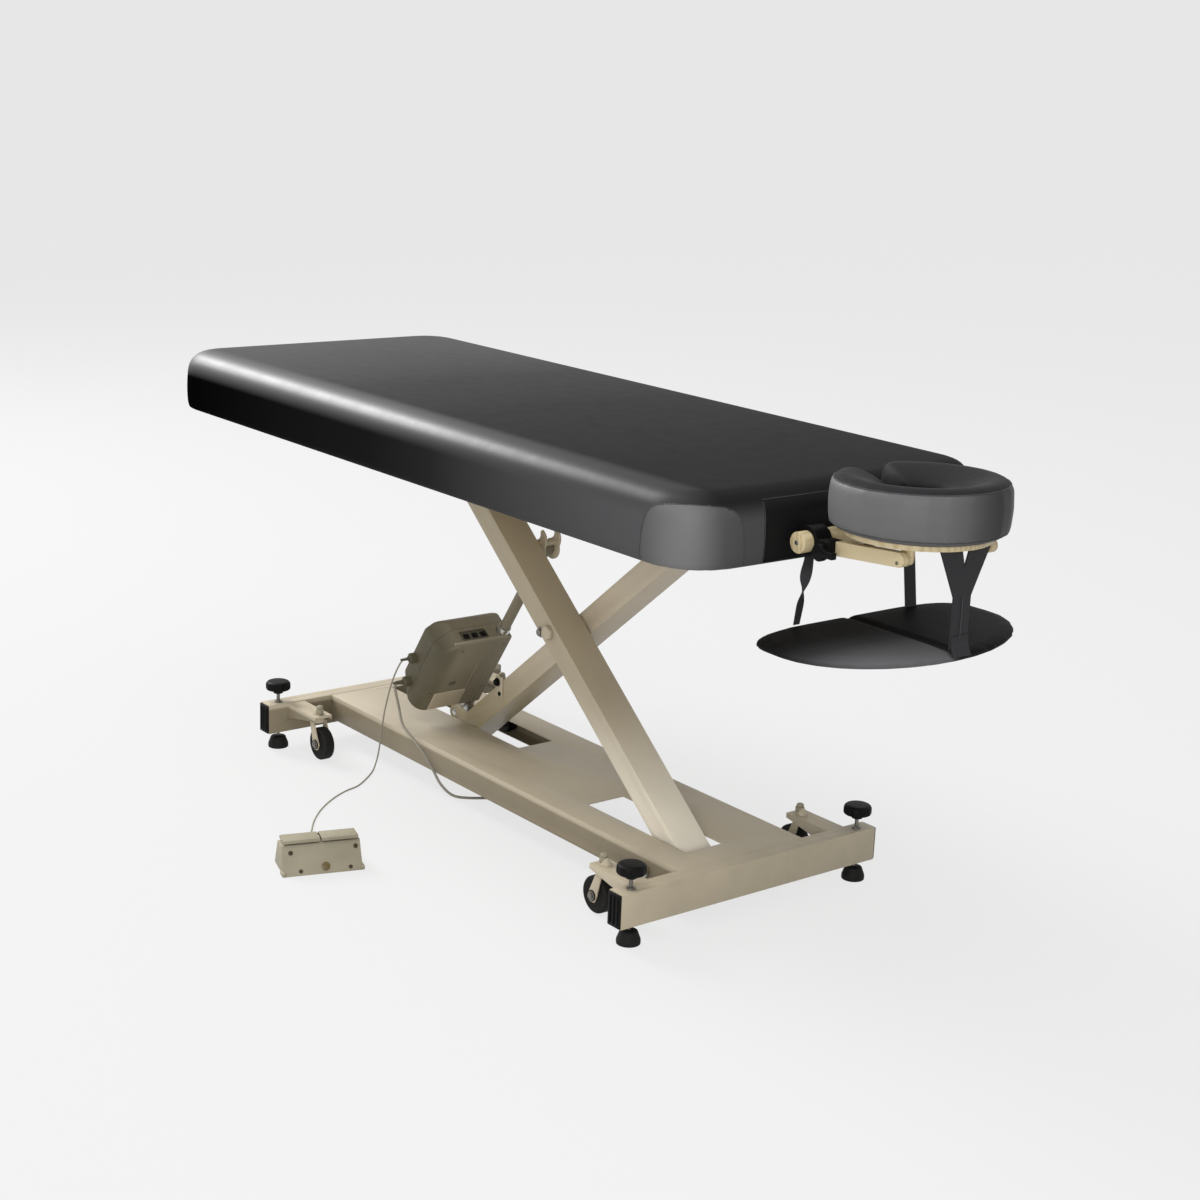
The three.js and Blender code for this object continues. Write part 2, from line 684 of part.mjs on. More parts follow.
// Lift frame, side boards, deck and pad
function makeTop() {
  const trackBottom = highPivot.z - rollerRadius - seat - panWall;
  const outside = block(trackSpan.x0, trackSpan.x1, -baseHalfWidth, baseHalfWidth,
    trackBottom, deckBottom - seat);
  const wallIn = baseHalfWidth - panWall;
  const endWall = barThick - legWall;
  const inX = { x0: trackSpan.x0 + endWall, x1: trackSpan.x1 - endWall };
  const roller = block(inX.x0, inX.x1, -wallIn, wallIn, trackBottom + panWall, trackTop);
  const gapIn = baseHalfWidth - flangeWidth;
  const middle = block(inX.x0, inX.x1, -gapIn, gapIn, trackBottom - cutOver, deckBottom + cutOver);
  const hole = barY(axleRadius + seat, highPivot.x, highPivot.z,
    -baseHalfWidth - cutOver, baseHalfWidth + cutOver);
  add(table, 'top_frame', cut(outside, roller, middle, hole), 'cream');
  add(table, 'top_axle', axleBetween(highPivot.x, highPivot.z, baseHalfWidth), 'steel');

  const halfX = topLength / 2;
  const halfY = topWidth / 2;
  const ring = roundedRectangle(halfX, halfY, topCorner);
  ring.holes.push(roundedRectangle(halfX - sideBoard, halfY - sideBoard, topCorner - sideBoard));
  const sockets = [-1, 1].map((side) =>
    barX(cradleRodRadius + seat, side * cradleRodY, dowelZ,
      halfX - sideBoard - cutOver, halfX + cutOver));
  add(table, 'side_frame', cut(slabZ(ring, topUnderside, deckBottom - seat), ...sockets), 'vinyl');
  const deck = roundedRectangle(halfX - deckInset, halfY - deckInset, topCorner - deckInset);
  add(table, 'deck_board', slabZ(deck, deckBottom, deckTop), 'maple');

  // The pad rises from square sides through a rolled edge to a slightly crowned top
  const levels = [[0, padBottom], [0, padTop - padEdge]];
  for (let k = 1; k <= 4; k += 1) {
    const turn = (k / 4) * (halfTurn / 2);
    levels.push([padEdge * (1 - Math.cos(turn)), padTop - padEdge + padEdge * Math.sin(turn)]);
  }
  levels.push([2.5 * padEdge, padTop + padRise / 2], [6 * padEdge, padTop + padRise]);
  const rings = levels.map(([inset, z]) => roundedRing(halfX - inset, halfY - inset,
    Math.max(topCorner - inset, padEdge / 2), z));
  add(table, 'cushion', skinOf(rings), 'vinyl');
}

// A horseshoe outline round the cradle centre, open towards the table
function horseshoe(outer, inner, openShare) {
  const open = openShare * halfTurn;
  const shape = new THREE.Shape();
  shape.absarc(cradleX, 0, outer, open - halfTurn, halfTurn - open);
  shape.absarc(cradleX, 0, inner, halfTurn - open, open - halfTurn, true);
  shape.closePath();
  return shape;
}

function makeCradle() {
  add(table, 'cradle_dowel', cut(barY(dowelRadius, dowelX, dowelZ, -dowelHalf, dowelHalf, 24),
    ...[-1, 1].map((side) => barX(cradleRodRadius + seat, side * cradleRodY, dowelZ,
      dowelX - dowelRadius - cutOver, dowelX + dowelRadius / 2))), 'maple');
  for (const [word, side] of [['near', -1], ['far', 1]]) {
    const rodEnd = dowelX + dowelRadius / 2 - seat;
    add(table, `cradle_rod_${word}`,
      barX(cradleRodRadius, side * cradleRodY, dowelZ, rodEnd - cradleRodLength, rodEnd), 'steel');
    const [y0, y1] = span(side * clampInner, side * clampOuter);
    const lug = block(dowelX, clampFront - seat, y0, y1,
      railStartZ - railHeight / 2, railStartZ + railHeight / 2);
    const clamp = cut(joined(barY(clampRadius, dowelX, dowelZ, y0, y1), lug),
      barY(dowelRadius + seat, dowelX, dowelZ, y0 - cutOver, y1 + cutOver, 24));
    add(table, `cradle_clamp_${word}`, clamp, 'black');

    // Rail with a rounded end, and the tilt pin through it
    const low = railStartZ - railHeight / 2;
    const half = railHeight / 2;
    const rail = new THREE.Shape();
    rail.moveTo(clampFront, low);
    rail.lineTo(tiltPinX, railEndZ - half);
    rail.absarc(tiltPinX, railEndZ, half, -halfTurn / 2, halfTurn / 2);
    rail.lineTo(clampFront, low + railHeight);
    rail.closePath();
    const plank = slabY(rail, side * railY - railThick / 2, side * railY + railThick / 2);
    const inFace = railY - railThick / 2;
    const pinY = span(side * (inFace + fuse), side * (inFace - seat - lugThick));
    const pin = barY(tiltPinRadius, tiltPinX, railEndZ, pinY[0], pinY[1], 12);
    add(table, `cradle_rail_${word}`, joined(plank, pin), 'maple');

    // Cam lever that locks the clamp
    const leverY = span(side * (clampOuter + seat), side * (clampOuter + seat + leverThick));
    const disc = barY(leverRadius, leverX, leverZ, leverY[0], leverY[1], 24);
    const arm = block(leverX, leverX + leverArm, leverY[0], leverY[1],
      leverZ - leverArmHalf, leverZ + leverArmHalf);
    add(table, `cam_lever_${word}`, joined(disc, arm), 'black');
  }

  const lugs = [-1, 1].map((side) => {
    const inFace = railY - railThick / 2 - seat;
    const y = span(side * inFace, side * (inFace - lugThick));
    const half = railHeight / 2;
    const shape = new THREE.Shape();
    shape.moveTo(tiltPinX - half, platformBottom + fuse);
    shape.lineTo(tiltPinX - half, railEndZ);
    shape.absarc(tiltPinX, railEndZ, half - lugInset, halfTurn, 2 * halfTurn);
    shape.lineTo(tiltPinX + half, platformBottom + fuse);
    shape.closePath();
    return cut(slabY(shape, y[0], y[1]),
      barY(tiltPinRadius + seat, tiltPinX, railEndZ, y[0] - cutOver, y[1] + cutOver, 12));
  });
  const plate = slabZ(horseshoe(platformOuter, platformInner, platformGapShare),
    platformBottom, platformBottom + platformThick, 14);
  add(table, 'cradle_platform', joined(plate, ...lugs), 'maple');

  // Face cushion: a fat round-cornered section swept round the horseshoe, its ends drawn in
  const base = platformBottom + platformThick + seat;
  const sweep = [];
  const steps = 22;
  const reach = faceEndShare * halfTurn;
  const endTurn = 0.5 * faceRingHalf / faceRingRadius;
  const stations = [];
  for (let i = 0; i <= steps; i += 1) {
    stations.push([reach * (2 * i / steps - 1), 1]);
  }
  for (let k = faceTipShares.length - 1; k >= 0; k -= 1) {
    const out = endTurn * (1 - k / faceTipShares.length);
    stations.unshift([-reach - out, faceTipShares[k]]);
    stations.push([reach + out, faceTipShares[k]]);
  }
  for (const [angle, share] of stations) {
    const ring = [];
    for (let j = 0; j < 14; j += 1) {
      const t = (j / 14) * 2 * halfTurn;
      const round = (value) => Math.sign(value) * Math.abs(value) ** faceSideShare;
      const r = faceRingRadius + faceRingHalf * share * round(Math.cos(t));
      const z = base + (faceHeight / 2) * (1 + Math.sqrt(share) * round(Math.sin(t)));
      ring.push(new THREE.Vector3(cradleX + r * Math.cos(angle), r * Math.sin(angle), z));
    }
    sweep.push(ring.reverse());
  }
  add(table, 'face_cushion', skinOf(sweep), 'vinyl');
}

function makeSling() {
  // A thin quilted pad: nearly straight towards the table, half an oval at the front
  const rings = slingShares.map(([share, up]) => {
    const ring = [];
    for (let i = 0; i < 32; i += 1) {
      const t = (i / 32) * 2 * halfTurn;
      const [x, y] = [Math.cos(t), Math.sin(t)];
      const blunt = x < 0 ? slingBackShare : 1;
      const out = x < 0 ? -slingBack * Math.abs(x) ** blunt : slingFront * x;
      ring.push(new THREE.Vector3(slingX + share * out,
        share * slingHalfY * Math.sign(y) * Math.abs(y) ** blunt, slingBottom + slingThick * up));
    }
    return ring;
  });
  const straps = [-1, 1].flatMap((side) => {
    const loopY = span(side * (dowelHalf - strapInset), side * (dowelHalf - strapInset - strapWidth));
    const loop = cut(barY(dowelRadius + seat + strapThick, dowelX, dowelZ, loopY[0], loopY[1], 24),
      barY(dowelRadius + seat, dowelX, dowelZ, loopY[0] - cutOver, loopY[1] + cutOver, 24));
    const fall = block(dowelX - strapThick / 2, dowelX + strapThick / 2, loopY[0], loopY[1],
      armrestZ - slingThick / 2, dowelZ - dowelRadius - seat - strapThick / 2);
    const foot = block(dowelX - strapThick / 2, slingX, loopY[0], loopY[1],
      armrestZ - slingThick / 2, armrestZ - slingThick / 2 + strapThick);
    return [loop, fall, foot];
  });
  add(table, 'armrest_sling', joined(skinOf(rings), ...straps), 'webbing');

  const w = frontStrapHalf;
  const r = frontForkReach;
  const top = platformBottom - seat;
  const inside = r - frontForkWidth;
  const fork = outline([[-w, armrestZ + fuse], [w, armrestZ + fuse], [w, frontForkZ], [r, top],
    [inside, top], [0, frontForkZ + w], [-inside, top], [-r, top], [-w, frontForkZ]]);
  add(table, 'sling_front_strap', slabX(fork, frontStrapX, frontStrapX + strapThick), 'webbing');
}

// Foot pedal: a wedge-sided case with two sprung treadles hinged at the back
function makePedal() {
  const pedal = new THREE.Group();
  pedal.position.set(pedalX, pedalY, 0);
  pedal.rotation.z = pedalTurn;
  table.add(pedal);
  const halfLow = pedalDepth / 2;
  const halfTop = pedalTopDepth / 2;
  const side = outline([[-halfLow, 0], [halfLow, 0], [halfLow - treadleLift, treadleThick],
    [halfTop, pedalHeight], [-halfTop, pedalHeight], [treadleLift - halfLow, treadleThick]]);
  const half = pedalLength / 2;
  const ear = block(-halfTop - hingeRadius, -halfTop + hingeRadius, -treadleGap / 2 + seat,
    treadleGap / 2 - seat, pedalHeight - hingeRadius, pedalHeight + treadleLift + treadleThick / 2);
  const boss = block(-halfLow - glandStand, -halfTop, -glandHalf, glandHalf,
    glandLow, glandLow + 2 * glandHalf);
  add(pedal, 'pedal_case', joined(slabY(side, -half, half), ear, boss), 'housing');
  for (const [word, end] of [['left', -1], ['right', 1]]) {
    const y = span(end * treadleGap / 2, end * (half - treadleMargin));
    const z0 = pedalHeight + treadleLift;
    const plate = block(-halfTop, halfTop + treadleLift, y[0], y[1], z0, z0 + treadleThick);
    const hinge = barY(hingeRadius, -halfTop, z0 + hingeRadius - seat, y[0], y[1], 12);
    add(pedal, `pedal_treadle_${word}`, joined(plate, hinge), 'housing');
  }
}

// Cords
function strutPoint(s, d, y) {
  const a = { x: strutRun.x / strutLength, z: strutRun.z / strutLength };
  return new THREE.Vector3(strutLow.x + s * a.x + d * a.z, y, strutLow.z + s * a.z - d * a.x);
}

function tubeAlong(points, radius, sides, steps) {
  const section = new THREE.Shape();
  for (let i = 0; i < sides; i += 1) {
    const t = (i / sides) * 2 * halfTurn;
    const place = [radius * Math.cos(t), radius * Math.sin(t)];
    if (i === 0) section.moveTo(...place);
    else section.lineTo(...place);
  }
  section.closePath();
  const loose = new THREE.CatmullRomCurve3(points, false, 'centripetal');
  const lowest = Math.min(...points.map((p) => p.z));
  const laid = loose.getPoints(4 * points.length).map((p) => p.setZ(Math.max(p.z, lowest)));
  const path = new THREE.CatmullRomCurve3(laid, false, 'centripetal');
  return new THREE.ExtrudeGeometry(section, { steps, bevelEnabled: false, extrudePath: path });
}

// Rings of a tube that keep one upright direction, for a winding that lies flat
function windingSkin(points, radius, sides) {
  const up = new THREE.Vector3(0, 0, 1);
  const rings = points.map((p, i) => {
    const before = points[Math.max(i - 1, 0)];
    const after = points[Math.min(i + 1, points.length - 1)];
    const along = new THREE.Vector3().subVectors(after, before).normalize();
    const across = new THREE.Vector3().crossVectors(up, along).normalize();
    const rise = new THREE.Vector3().crossVectors(along, across);
    const ring = [];
    for (let j = 0; j < sides; j += 1) {
      const t = (j / sides) * 2 * halfTurn;
      const point = p.clone().addScaledVector(across, radius * Math.cos(t));
      ring.push(point.addScaledVector(rise, radius * Math.sin(t)));
    }
    return ring;
  });
  return skinOf(rings);
}

// Two layers: the lower spirals in, the half turn of reversal climbs, the upper spirals out
function coilPoints() {
  const pitch = 2 * mainsCordRadius + coilGap;
  const outer = coilInner + coilTurns * pitch;
  const perTurn = 18;
  const low = mainsCordRadius;
  const rows = [];
  const inSteps = coilTurns * perTurn;
  for (let i = 0; i <= inSteps; i += 1) {
    rows.push([i, outer - pitch * i / perTurn, low]);
  }
  const climb = perTurn / 2;
  for (let i = 1; i <= climb; i += 1) {
    rows.push([inSteps + i, coilInner, low + pitch * i / climb]);
  }
  for (let i = 1; i <= inSteps; i += 1) {
    rows.push([inSteps + climb + i, coilInner + pitch * i / perTurn, low + pitch]);
  }
  return rows.map(([i, r, z]) => {
    const t = (i / perTurn) * 2 * halfTurn - halfTurn / 2;
    return new THREE.Vector3(coilX + r * Math.cos(t), coilY + r * Math.sin(t), z);
  });
}

function leastGap(points, radius, skip) {
  let least = Infinity;
  for (let i = 0; i < points.length; i += 1) {
    for (let j = i + skip; j < points.length; j += 1) {
      least = Math.min(least, points[i].distanceTo(points[j]) - 2 * radius);
    }
  }
  return least;
}

function makeCords() {
  const socketFace = caseNear - socketStand - seat;
  const pedalExit = strutPoint(pedalSocket.s, pedalSocket.d, socketFace);
  const pedalRear = new THREE.Vector3(-pedalDepth / 2 - glandStand - seat, 0, 0);
  const place = (along, z) => pedalRear.clone().add(new THREE.Vector3(-along, 0, z))
    .applyAxisAngle(new THREE.Vector3(0, 0, 1), pedalTurn)
    .add(new THREE.Vector3(pedalX, pedalY, 0));
  const onFloor = pedalCordRadius + seat;
  const pedalRoute = [
    pedalExit,
    pedalExit.clone().add(new THREE.Vector3(0, -14, 0)),
    new THREE.Vector3(-299, -152, 226),
    new THREE.Vector3(-318, -160, 160),
    new THREE.Vector3(-326, -165, 108),
    new THREE.Vector3(-331, -168, 62),
    new THREE.Vector3(-334, -172, 28),
    new THREE.Vector3(-328, -184, 6),
    new THREE.Vector3(-304, -208, onFloor),
    new THREE.Vector3(-276, -240, onFloor),
    new THREE.Vector3(-250, -276, onFloor),
    new THREE.Vector3(-237, -313, onFloor),
    new THREE.Vector3(-214, -356, onFloor),
    new THREE.Vector3(-171, -412, onFloor),
    new THREE.Vector3(-118, -462, onFloor),
    new THREE.Vector3(-62, -502, onFloor),
    place(44, onFloor),
    place(20, onFloor + 4),
    place(0, glandLow + glandHalf),
  ];
  add(table, 'pedal_cord', tubeAlong(pedalRoute, pedalCordRadius, 8, 64), 'cord');

  const mainsExit = strutPoint(mainsSocket.s, mainsSocket.d, socketFace);
  const winding = coilPoints();
  const floor = mainsCordRadius + seat;
  const start = winding[0].clone();
  const mainsRoute = [
    mainsExit,
    mainsExit.clone().add(new THREE.Vector3(0, -20, 0)),
    new THREE.Vector3(-268, -160, 160),
    new THREE.Vector3(-240, -167, 128),
    new THREE.Vector3(-200, -167, 108),
    new THREE.Vector3(-160, -166, 88),
    new THREE.Vector3(-124, -164, 60),
    new THREE.Vector3(-98, -158, 30),
    new THREE.Vector3(-78, -140, 8),
    new THREE.Vector3(-52, -106, floor),
    new THREE.Vector3(-28, -60, floor),
    new THREE.Vector3(-16, 0, floor),
    new THREE.Vector3(-14, 70, floor),
    new THREE.Vector3(-8, 140, floor),
    new THREE.Vector3(12, 178, floor),
    start.clone().add(new THREE.Vector3(-30, 0, seat)),
    start.clone().add(new THREE.Vector3(-2 * mainsCordRadius - seat, 0, seat)),
  ];
  add(table, 'mains_cord', tubeAlong(mainsRoute, mainsCordRadius, 8, 56), 'cord');

  const last = winding.at(-1);
  const tail = last.clone().sub(winding.at(-2)).normalize();
  const straight = last.clone().addScaledVector(tail, plugTail);
  const leadIn = start.clone().add(new THREE.Vector3(-2 * mainsCordRadius, 0, 0));
  const lead = [leadIn, ...winding, straight].map((p) => p.clone().setZ(p.z + seat));
  add(table, 'mains_coil', windingSkin(lead, mainsCordRadius, 6), 'cord');
  console.log('least gap in the mains coil', leastGap(lead, mainsCordRadius, 8).toFixed(2), 'mm');

  const plug = new THREE.Group();
  plug.position.copy(lead.at(-1)).addScaledVector(tail, seat);
  plug.rotation.z = Math.atan2(tail.y, tail.x);
  table.add(plug);
  const bodyHalf = straight.z;
  const body = block(0, plugLength, -plugHalf, plugHalf, -bodyHalf, bodyHalf);
  const prongs = [-1, 1].map((side) =>
    barX(prongRadius, side * prongSpread, 0, plugLength - fuse, plugLength + prongLength, 10));
  add(plug, 'mains_plug', joined(body, ...prongs), 'black');
}

makeBase();
makeLegs();
makeActuator();
makeTop();
makeCradle();
makeSling();
makePedal();
makeCords();

// The origin is on the floor under the middle of everything but the mains lead and pedal cord
table.updateMatrixWorld(true);
const reach = new THREE.Box3();
for (const name of ['cushion', 'face_cushion', 'pedal_case', 'armrest_sling']) {
  reach.union(new THREE.Box3().setFromObject(table.getObjectByName(name), true));
}
const middle = reach.getCenter(new THREE.Vector3());
table.position.set(-middle.x, -middle.y, 0);
table.updateMatrixWorld(true);

export default table;
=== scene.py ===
"""Looks of the electric massage table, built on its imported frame. Metres, row frame."""

import json
import math

import bpy
from mathutils import Euler, Matrix, Vector
from mathutils.bvhtree import BVHTree

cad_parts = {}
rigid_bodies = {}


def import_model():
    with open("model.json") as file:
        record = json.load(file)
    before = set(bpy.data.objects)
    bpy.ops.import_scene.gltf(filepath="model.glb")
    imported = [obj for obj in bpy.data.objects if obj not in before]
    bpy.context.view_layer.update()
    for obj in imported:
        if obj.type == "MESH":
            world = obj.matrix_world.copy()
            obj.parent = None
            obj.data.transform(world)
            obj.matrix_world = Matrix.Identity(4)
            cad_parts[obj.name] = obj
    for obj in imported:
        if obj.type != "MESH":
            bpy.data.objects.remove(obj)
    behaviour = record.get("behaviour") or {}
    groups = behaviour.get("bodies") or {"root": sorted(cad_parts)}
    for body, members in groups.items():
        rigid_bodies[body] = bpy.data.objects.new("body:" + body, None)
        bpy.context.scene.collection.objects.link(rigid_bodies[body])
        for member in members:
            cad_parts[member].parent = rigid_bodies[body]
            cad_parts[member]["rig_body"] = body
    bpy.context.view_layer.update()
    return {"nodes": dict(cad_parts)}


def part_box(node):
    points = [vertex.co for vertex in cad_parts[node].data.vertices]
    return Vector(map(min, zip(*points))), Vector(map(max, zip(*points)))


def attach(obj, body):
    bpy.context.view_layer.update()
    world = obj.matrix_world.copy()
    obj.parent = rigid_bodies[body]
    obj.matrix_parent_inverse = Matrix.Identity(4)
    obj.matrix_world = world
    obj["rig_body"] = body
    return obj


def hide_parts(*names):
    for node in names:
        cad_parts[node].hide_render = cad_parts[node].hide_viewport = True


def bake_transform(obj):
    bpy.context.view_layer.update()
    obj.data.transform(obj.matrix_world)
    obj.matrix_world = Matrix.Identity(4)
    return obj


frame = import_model()

MM = 0.001
# The drawing's zero is the middle of the padded top; the row's zero lies this far from it
SHIFT_X = -160.0
SHIFT_Y = 147.404


def at(x, y, z):
    """A point of the drawing, in millimetres, as a point of the row frame in metres."""
    return Vector(((x + SHIFT_X) * MM, (y + SHIFT_Y) * MM, z * MM))


# Camera: solved from the photograph's corners
CAMERA_PLACE = at(3474.5, -2564.8, 1602.7)
CAMERA_AZIMUTH = math.radians(51.65)
CAMERA_PITCH = math.radians(14.91)
CAMERA_ROLL = math.radians(2.29)
CAMERA_LENS = 62.9

ahead = Vector((-math.sin(CAMERA_AZIMUTH) * math.cos(CAMERA_PITCH),
                math.cos(CAMERA_AZIMUTH) * math.cos(CAMERA_PITCH), -math.sin(CAMERA_PITCH)))
level = Vector((math.cos(CAMERA_AZIMUTH), math.sin(CAMERA_AZIMUTH), 0.0))
rising = level.cross(ahead)
right = level * math.cos(CAMERA_ROLL) + rising * math.sin(CAMERA_ROLL)
above = right.cross(ahead)
camera = bpy.data.objects.new("camera", bpy.data.cameras.new("camera"))
bpy.context.scene.collection.objects.link(camera)
camera.data.lens = CAMERA_LENS
camera.data.clip_end = 200
camera.matrix_world = Matrix.Translation(CAMERA_PLACE) @ Matrix(
    (right, above, -ahead)).transposed().to_4x4()
bpy.context.scene.camera = camera
bpy.context.scene.view_settings.view_transform = "Standard"


# Finishes
def set_inputs(tree, node, inputs):
    """Gives each input its value, or links it where the value is a node's output."""
    for socket, value in inputs.items():
        if isinstance(value, bpy.types.NodeSocket):
            tree.links.new(value, node.inputs[socket])
        else:
            node.inputs[socket].default_value = value


def add_node(tree, kind, output, inputs, **settings):
    """Adds a shader node and gives back one of its outputs."""
    node = tree.nodes.new(f"ShaderNode{kind}")
    for key, value in settings.items():
        setattr(node, key, value)
    set_inputs(tree, node, inputs)
    return node.outputs[output]


def shade_of(colour, share):
    return tuple(min(1.0, channel * share) for channel in colour)


class Finish:
    """A material in the making. Lengths along its axes are metres of the row frame."""

    def __init__(self, name, colour, roughness, specular=0.5, metallic=0.0, stretch=(1, 1, 1)):
        self.material = bpy.data.materials.new(name)
        self.material.use_nodes = True
        self.tree = self.material.node_tree
        self.feed("Base Color", (*colour, 1))
        self.feed("Roughness", roughness)
        self.feed("Metallic", metallic)
        self.feed("Specular IOR Level", specular)
        self.place = self.add("Mapping", "Vector", {
            "Scale": stretch, "Vector": self.add("TexCoord", "Object", {})})

    def add(self, kind, output, inputs, **settings):
        return add_node(self.tree, kind, output, inputs, **settings)

    def feed(self, socket, value):
        set_inputs(self.tree, self.tree.nodes["Principled BSDF"], {socket: value})

    def noise(self, scale, detail=3.0, rough=0.5):
        return self.add("TexNoise", "Fac", {
            "Scale": scale, "Detail": detail, "Roughness": rough, "Vector": self.place})

    def mottle(self):
        return self.noise(9.0, 5.0, 0.6)

    def ramp(self, value, *stops):
        """A ramp of (place, colour) stops read by value."""
        ramp = self.tree.nodes.new("ShaderNodeValToRGB")
        elements = ramp.color_ramp.elements
        for number, (place, colour) in enumerate((stops[0], stops[-1])):
            elements[number].position = place
            elements[number].color = (*colour, 1)
        for place, colour in stops[1:-1]:
            elements.new(place).color = (*colour, 1)
        set_inputs(self.tree, ramp, {"Fac": value})
        return ramp.outputs["Color"]

    def spread(self, value, low, high):
        """Value from 0 to 1 turned into low to high."""
        return self.add("MapRange", "Result", {"To Min": low, "To Max": high, "Value": value})

    def along(self, axis, start, end):
        """0 at start and 1 at end of one axis."""
        place = self.add("SeparateXYZ", axis, {0: self.place})
        return self.add("MapRange", "Result", {
            "From Min": start, "From Max": end, "Value": place}, interpolation_type="SMOOTHSTEP")

    def blend(self, share, low, high, blend_type="MIX"):
        """Low where share is 0, high where it is 1."""
        return self.add("Mix", "Result", {"Factor": share, "A": low, "B": high},
                        data_type="RGBA", blend_type=blend_type)

    def maths(self, operation, first, second):
        return self.add("Math", 0, {0: first, 1: second}, operation=operation)

    def bump(self, height, strength, distance, below=None):
        inputs = {"Strength": strength, "Distance": distance, "Height": height}
        return self.add("Bump", "Normal", inputs if below is None else {**inputs, "Normal": below})

    def bumpy(self, *values):
        self.feed("Normal", self.bump(*values))

    def orange_peel(self, below=None):
        self.bumpy(self.noise(700.0, 2.0), 0.22, 0.0003, below)

    def pebbles(self):
        """The pebble grain of upholstery vinyl."""
        cells = self.add("TexVoronoi", "Distance", {"Scale": 620.0, "Vector": self.place},
                         feature="SMOOTH_F1")
        self.bumpy(cells, 0.3, 0.0003, self.bump(self.noise(210.0, 4.0, 0.6), 0.12, 0.0005))


def powder_coat(name, colour):
    """Baked powder coat: fine orange peel over shallow waves, faint mottling."""
    finish = Finish(name, colour, 0.42, 0.35)
    finish.feed("Base Color", finish.ramp(
        finish.mottle(), (0.3, shade_of(colour, 0.9)), (0.55, colour),
        (0.75, shade_of(colour, 1.07))))
    finish.feed("Roughness", finish.spread(finish.noise(60.0), 0.34, 0.52))
    finish.orange_peel(finish.bump(finish.noise(90.0, 1.0), 0.12, 0.0006))
    return finish.material


def lit_and_shaded_coat(name, colour, heights, lit_and_shaded_tones, specular=0.35):
    """Powder coat with painted light and shade: it goes from one (tone, dimming) to another
    between two heights, lighter where light falls and darker where shade falls.
    """
    finish = Finish(name, colour, 0.42, specular)
    mottle = finish.mottle()
    first, second = (finish.ramp(mottle, (0.3, shade_of(tone, dimming)), (0.75, tone))
                     for tone, dimming in lit_and_shaded_tones)
    finish.feed("Base Color", finish.blend(finish.along("Z", *heights), first, second))
    finish.orange_peel()
    return finish.material


def leg_coat(name, colour, low_painted_light):
    """The legs' powder coat, of another tone low down: painted light, paler low down on leg A
    where light falls and darker low down on leg B in shade.
    """
    return lit_and_shaded_coat(name, colour, (0.36, 0.10), [(colour, 0.92), (low_painted_light, 0.92)])


def grained_vinyl(name, colour, roughness, specular):
    """Upholstery vinyl: pebble grain in shallow cells, with a faintly uneven sheen."""
    finish = Finish(name, colour, roughness, specular)
    finish.feed("Base Color", finish.ramp(
        finish.noise(3.5), (0.3, shade_of(colour, 0.86)), (0.7, shade_of(colour, 1.14))))
    finish.feed("Roughness", finish.spread(
        finish.noise(26.0, 4.0), roughness - 0.05, roughness + 0.07))
    finish.pebbles()
    return finish.material


def cover_vinyl(name):
    """The top's vinyl with painted light and shade: sides painted deep black at the foot end and
    greyer towards the head end, the top painted lighter towards the foot end.
    """
    finish = Finish(name, (0.01, 0.01, 0.01), 0.34)
    lengthwise = finish.along("X", -1.09, 0.77)
    upper = finish.along("Z", 0.828, 0.868)
    inner = finish.along("Y", -0.205, -0.135)

    def greys(*stops):
        return finish.ramp(lengthwise, *[(place, (g, g, g * 1.04)) for place, g in stops])

    # Painted shade on the long sides: near black at the foot end, greyer towards the head end.
    sides = greys((0, 0.0012), (0.45, 0.0025), (0.62, 0.009), (0.8, 0.035), (1, 0.07))
    # Painted light on the top: lighter at the foot end, darker towards the head end.
    top_painted_light = greys((0, 0.03), (0.3, 0.02), (0.65, 0.018), (1, 0.015))
    cloud = finish.ramp(finish.noise(3.5), (0.3, (0.88,) * 3), (0.7, (1.0,) * 3))
    finish.feed("Base Color", finish.blend(
        1.0, finish.blend(upper, sides, top_painted_light), cloud, "MULTIPLY"))
    edge_sheen = greys((0, 1.0), (0.45, 1.0), (0.75, 0.5), (1, 0.2))
    flat_sheen = greys((0, 0.16), (0.3, 0.05), (0.6, 0.02), (1, 0.01))
    side_sheen = greys((0, 0.0), (0.4, 0.02), (1, 0.06))
    finish.feed("Specular IOR Level", finish.blend(
        upper, side_sheen, finish.blend(inner, edge_sheen, flat_sheen)))
    finish.feed("Roughness", finish.spread(finish.noise(26.0, 4.0), 0.46, 0.56))
    finish.pebbles()
    return finish.material


def corner_vinyl_highlit(name):
    """The corner patches: as dark as the cover at their two ends, with a painted highlight between
    where light falls on the rounded corner.
    """
    finish = Finish(name, (0.12, 0.12, 0.123), 0.5, 0.2)
    # Painted highlight: lighter grey across the middle of the corner.
    side = finish.ramp(finish.along("X", 0.635, 0.725),
                       (0.0, (0.062, 0.062, 0.064)), (1.0, (0.135, 0.135, 0.138)))
    finish.feed("Base Color", finish.blend(
        finish.along("Y", -0.135, -0.20), (0.068, 0.068, 0.07, 1), side))
    finish.pebbles()
    return finish.material


def cushion_vinyl(name):
    """The face cushion's side panel, painted grey where light falls on it and darker towards its
    far end as painted shade.
    """
    finish = Finish(name, (0.11, 0.11, 0.11), 0.5, 0.2)
    finish.feed("Base Color", finish.ramp(
        finish.along("Y", 0.06, 0.19), (0.0, (0.112, 0.112, 0.115)), (1.0, (0.02, 0.02, 0.021))))
    finish.pebbles()
    return finish.material


